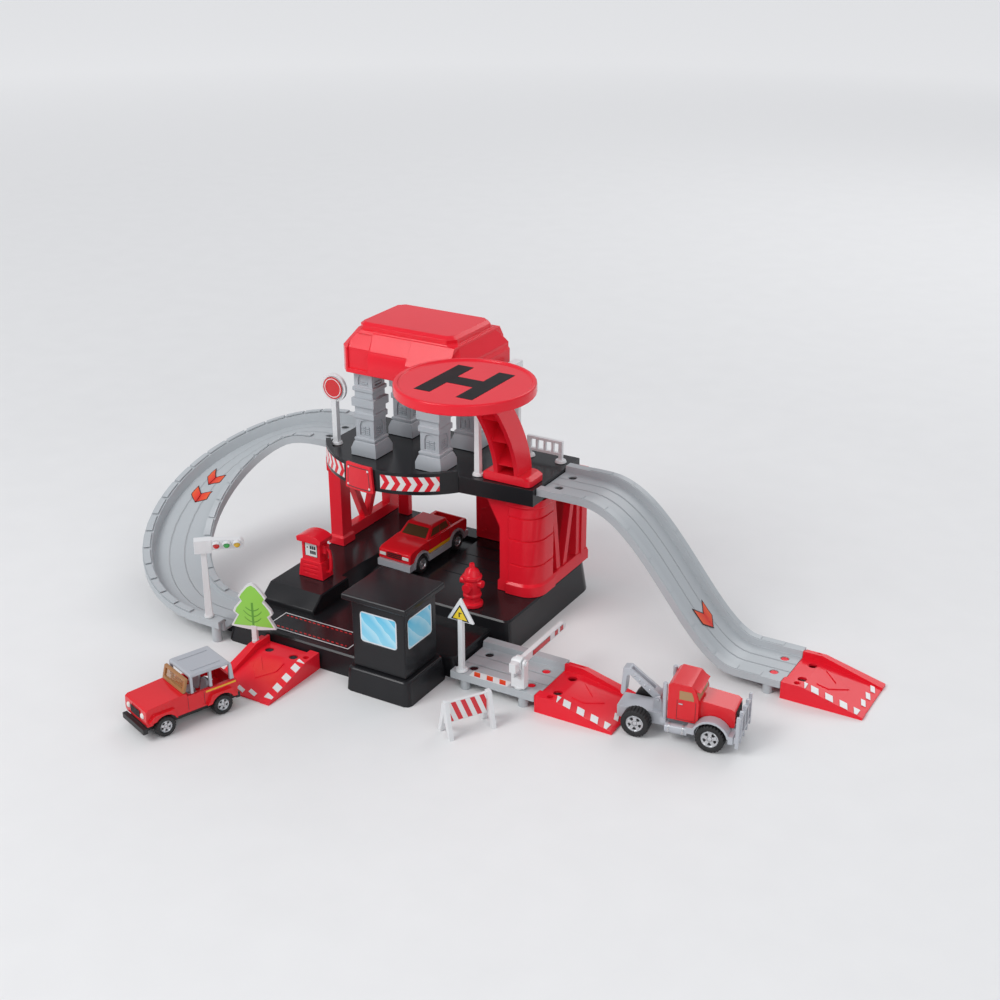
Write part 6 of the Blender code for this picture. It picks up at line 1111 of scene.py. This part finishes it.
# %% Open car trim
OPEN_CAR_SIDE = 12.95
glass = plastic("tan_glass", (0.42, 0.22, 0.08), gloss=0.06, streak=0.0, peel=0.0, Alpha=0.5)
frame_opening = ([(4.43, -10.9, 23.8), (4.43, 10.9, 23.8)], [(2.81, -10.9, 29.7), (2.81, 10.9, 29.7)])
fit("open_car_glass", "open_car", [pane(*frame_opening, 0.0, 1.0, 0.0, 1.0)], glass)
bars = [front_patch(30.7, rectangle(y - 0.4, 12.6, y + 0.4, 17.6), 0.35)
        for y in np.arange(-4.8, 4.9, 1.6)]
fit("open_car_grille", "open_car", bars, dark_trim)
lights = [dome((30.6, y, 15.4), (1, 0, 0), 1.9, 0.9, 24) for y in (-8.4, 8.4)]
fit("open_car_headlamps", "open_car", lights, lamp_white)
bands = both_sides(OPEN_CAR_SIDE, rectangle(-29.2, 18.0, -9.0, 19.1))
fit("open_car_bands", "open_car", bands, yellow_band)
# The seam lines carry painted shade.
lines = upright_seams(OPEN_CAR_SIDE, 10.6, 19.2, (-7.8, 3.0))
fit("open_car_seams", "open_car", lines, seam_shade)
cushion = rounded(8.0, 8.0, 1.6)
rest = rounded(7.6, 10.0, 2.4) + np.array([0.0, 17.6])
seats = [plate(cushion, 2.4, (-6.0, y, 11.6), (1, 0, 0), (0, 1, 0)) for y in (-5.0, 5.0)]
seats += [plate(rest, 1.6, (-10.4, y, 0.0), (0, 1, 0), (-0.16, 0, 0.99)) for y in (-5.0, 5.0)]
fit("open_car_seats", "open_car", seats, silver, bevel=0.4)
ribs = [plate(rectangle(-22.0, y - 0.9, -3.0, y + 0.9), 0.5, (0, 0, 32.95), (1, 0, 0), (0, 1, 0))
        for y in (-8.0, 8.0)]
fit("open_car_roof_ribs", "open_car", ribs, silver, bevel=0.15)
print("open car trimmed")

# %% [markdown]
# A plain pale floor and big soft lamps, as in a product photograph. Far from the toy the lamps fade,
# so the floor glows a little there, but only to the camera and in reflections. The world does the
# same behind it, and the light on the toy stays at the level that shows its colours as written.

# %% Floor, backdrop and lights
def studio_floor(half=30.0):
    """A wide pale plane. Its glow grows with the distance from the toy, from 0.5 m out to 2.7 m."""
    finish = Finish("studio_floor")
    mesh = bpy.data.meshes.new("studio_floor")
    mesh.from_pydata([(x, y, 0.0) for x, y in rectangle(-half, -half, half, half)], [], [(0, 1, 2, 3)])
    away = finish.reach(*finish.place()) / 1000.0
    seen = 0.0
    for ray in ("Is Camera Ray", "Is Glossy Ray", "Is Transmission Ray"):
        seen = finish.node("LightPath", output=ray) | seen
    glow = finish.mix(finish.clamp((away - 0.5) / 2.2) * seen, (0.0, 0.0, 0.0), (0.34, 0.34, 0.34))
    colour = finish.mix(finish.noise(30.0, 4.0), (0.78, 0.78, 0.78), (0.82, 0.82, 0.82))
    mesh.materials.append(finish.close(colour, 0.6, Emission_Color=glow, Emission_Strength=1.0))
    add("studio_floor", mesh)


def studio_world():
    """A soft white sky of strength 0.52 that shows paler to the camera."""
    world = Finish("studio_world", bpy.data.worlds)
    light = world.node("Background", {"Color": (0.93, 0.95, 1.0, 1.0), "Strength": 0.52})
    view = world.node("Background", {"Color": (0.78, 0.78, 0.79, 1.0)})
    seen = world.node("LightPath", output="Is Camera Ray")
    sky = world.node("MixShader", {0: seen, 1: light, 2: view})
    bpy.context.scene.world = world.end(sky, "ShaderNodeOutputWorld")


def lamp(name, place, target, size, power):
    """A square area lamp at a place, turned towards a target."""
    data = bpy.data.lights.new(name, "AREA")
    data.size = size
    data.energy = power
    obj = add(name, data)
    obj.location = place
    obj.rotation_euler = (Vector(target) - Vector(place)).to_track_quat("-Z", "Y").to_euler()


studio_floor()
studio_world()
lamp("key_lamp", (-0.7, -1.3, 1.5), (0.05, -0.03, 0.08), 1.0, 21.0)
lamp("fill_lamp", (1.4, -0.9, 0.9), (0.05, -0.03, 0.08), 1.2, 6.0)
lamp("back_lamp", (0.2, 1.3, 1.2), (0.05, -0.03, 0.1), 1.0, 6.0)
bpy.context.scene.view_settings.view_transform = "Standard"
print("lights and floor ready")

# %% [markdown]

# %% End
print("done")
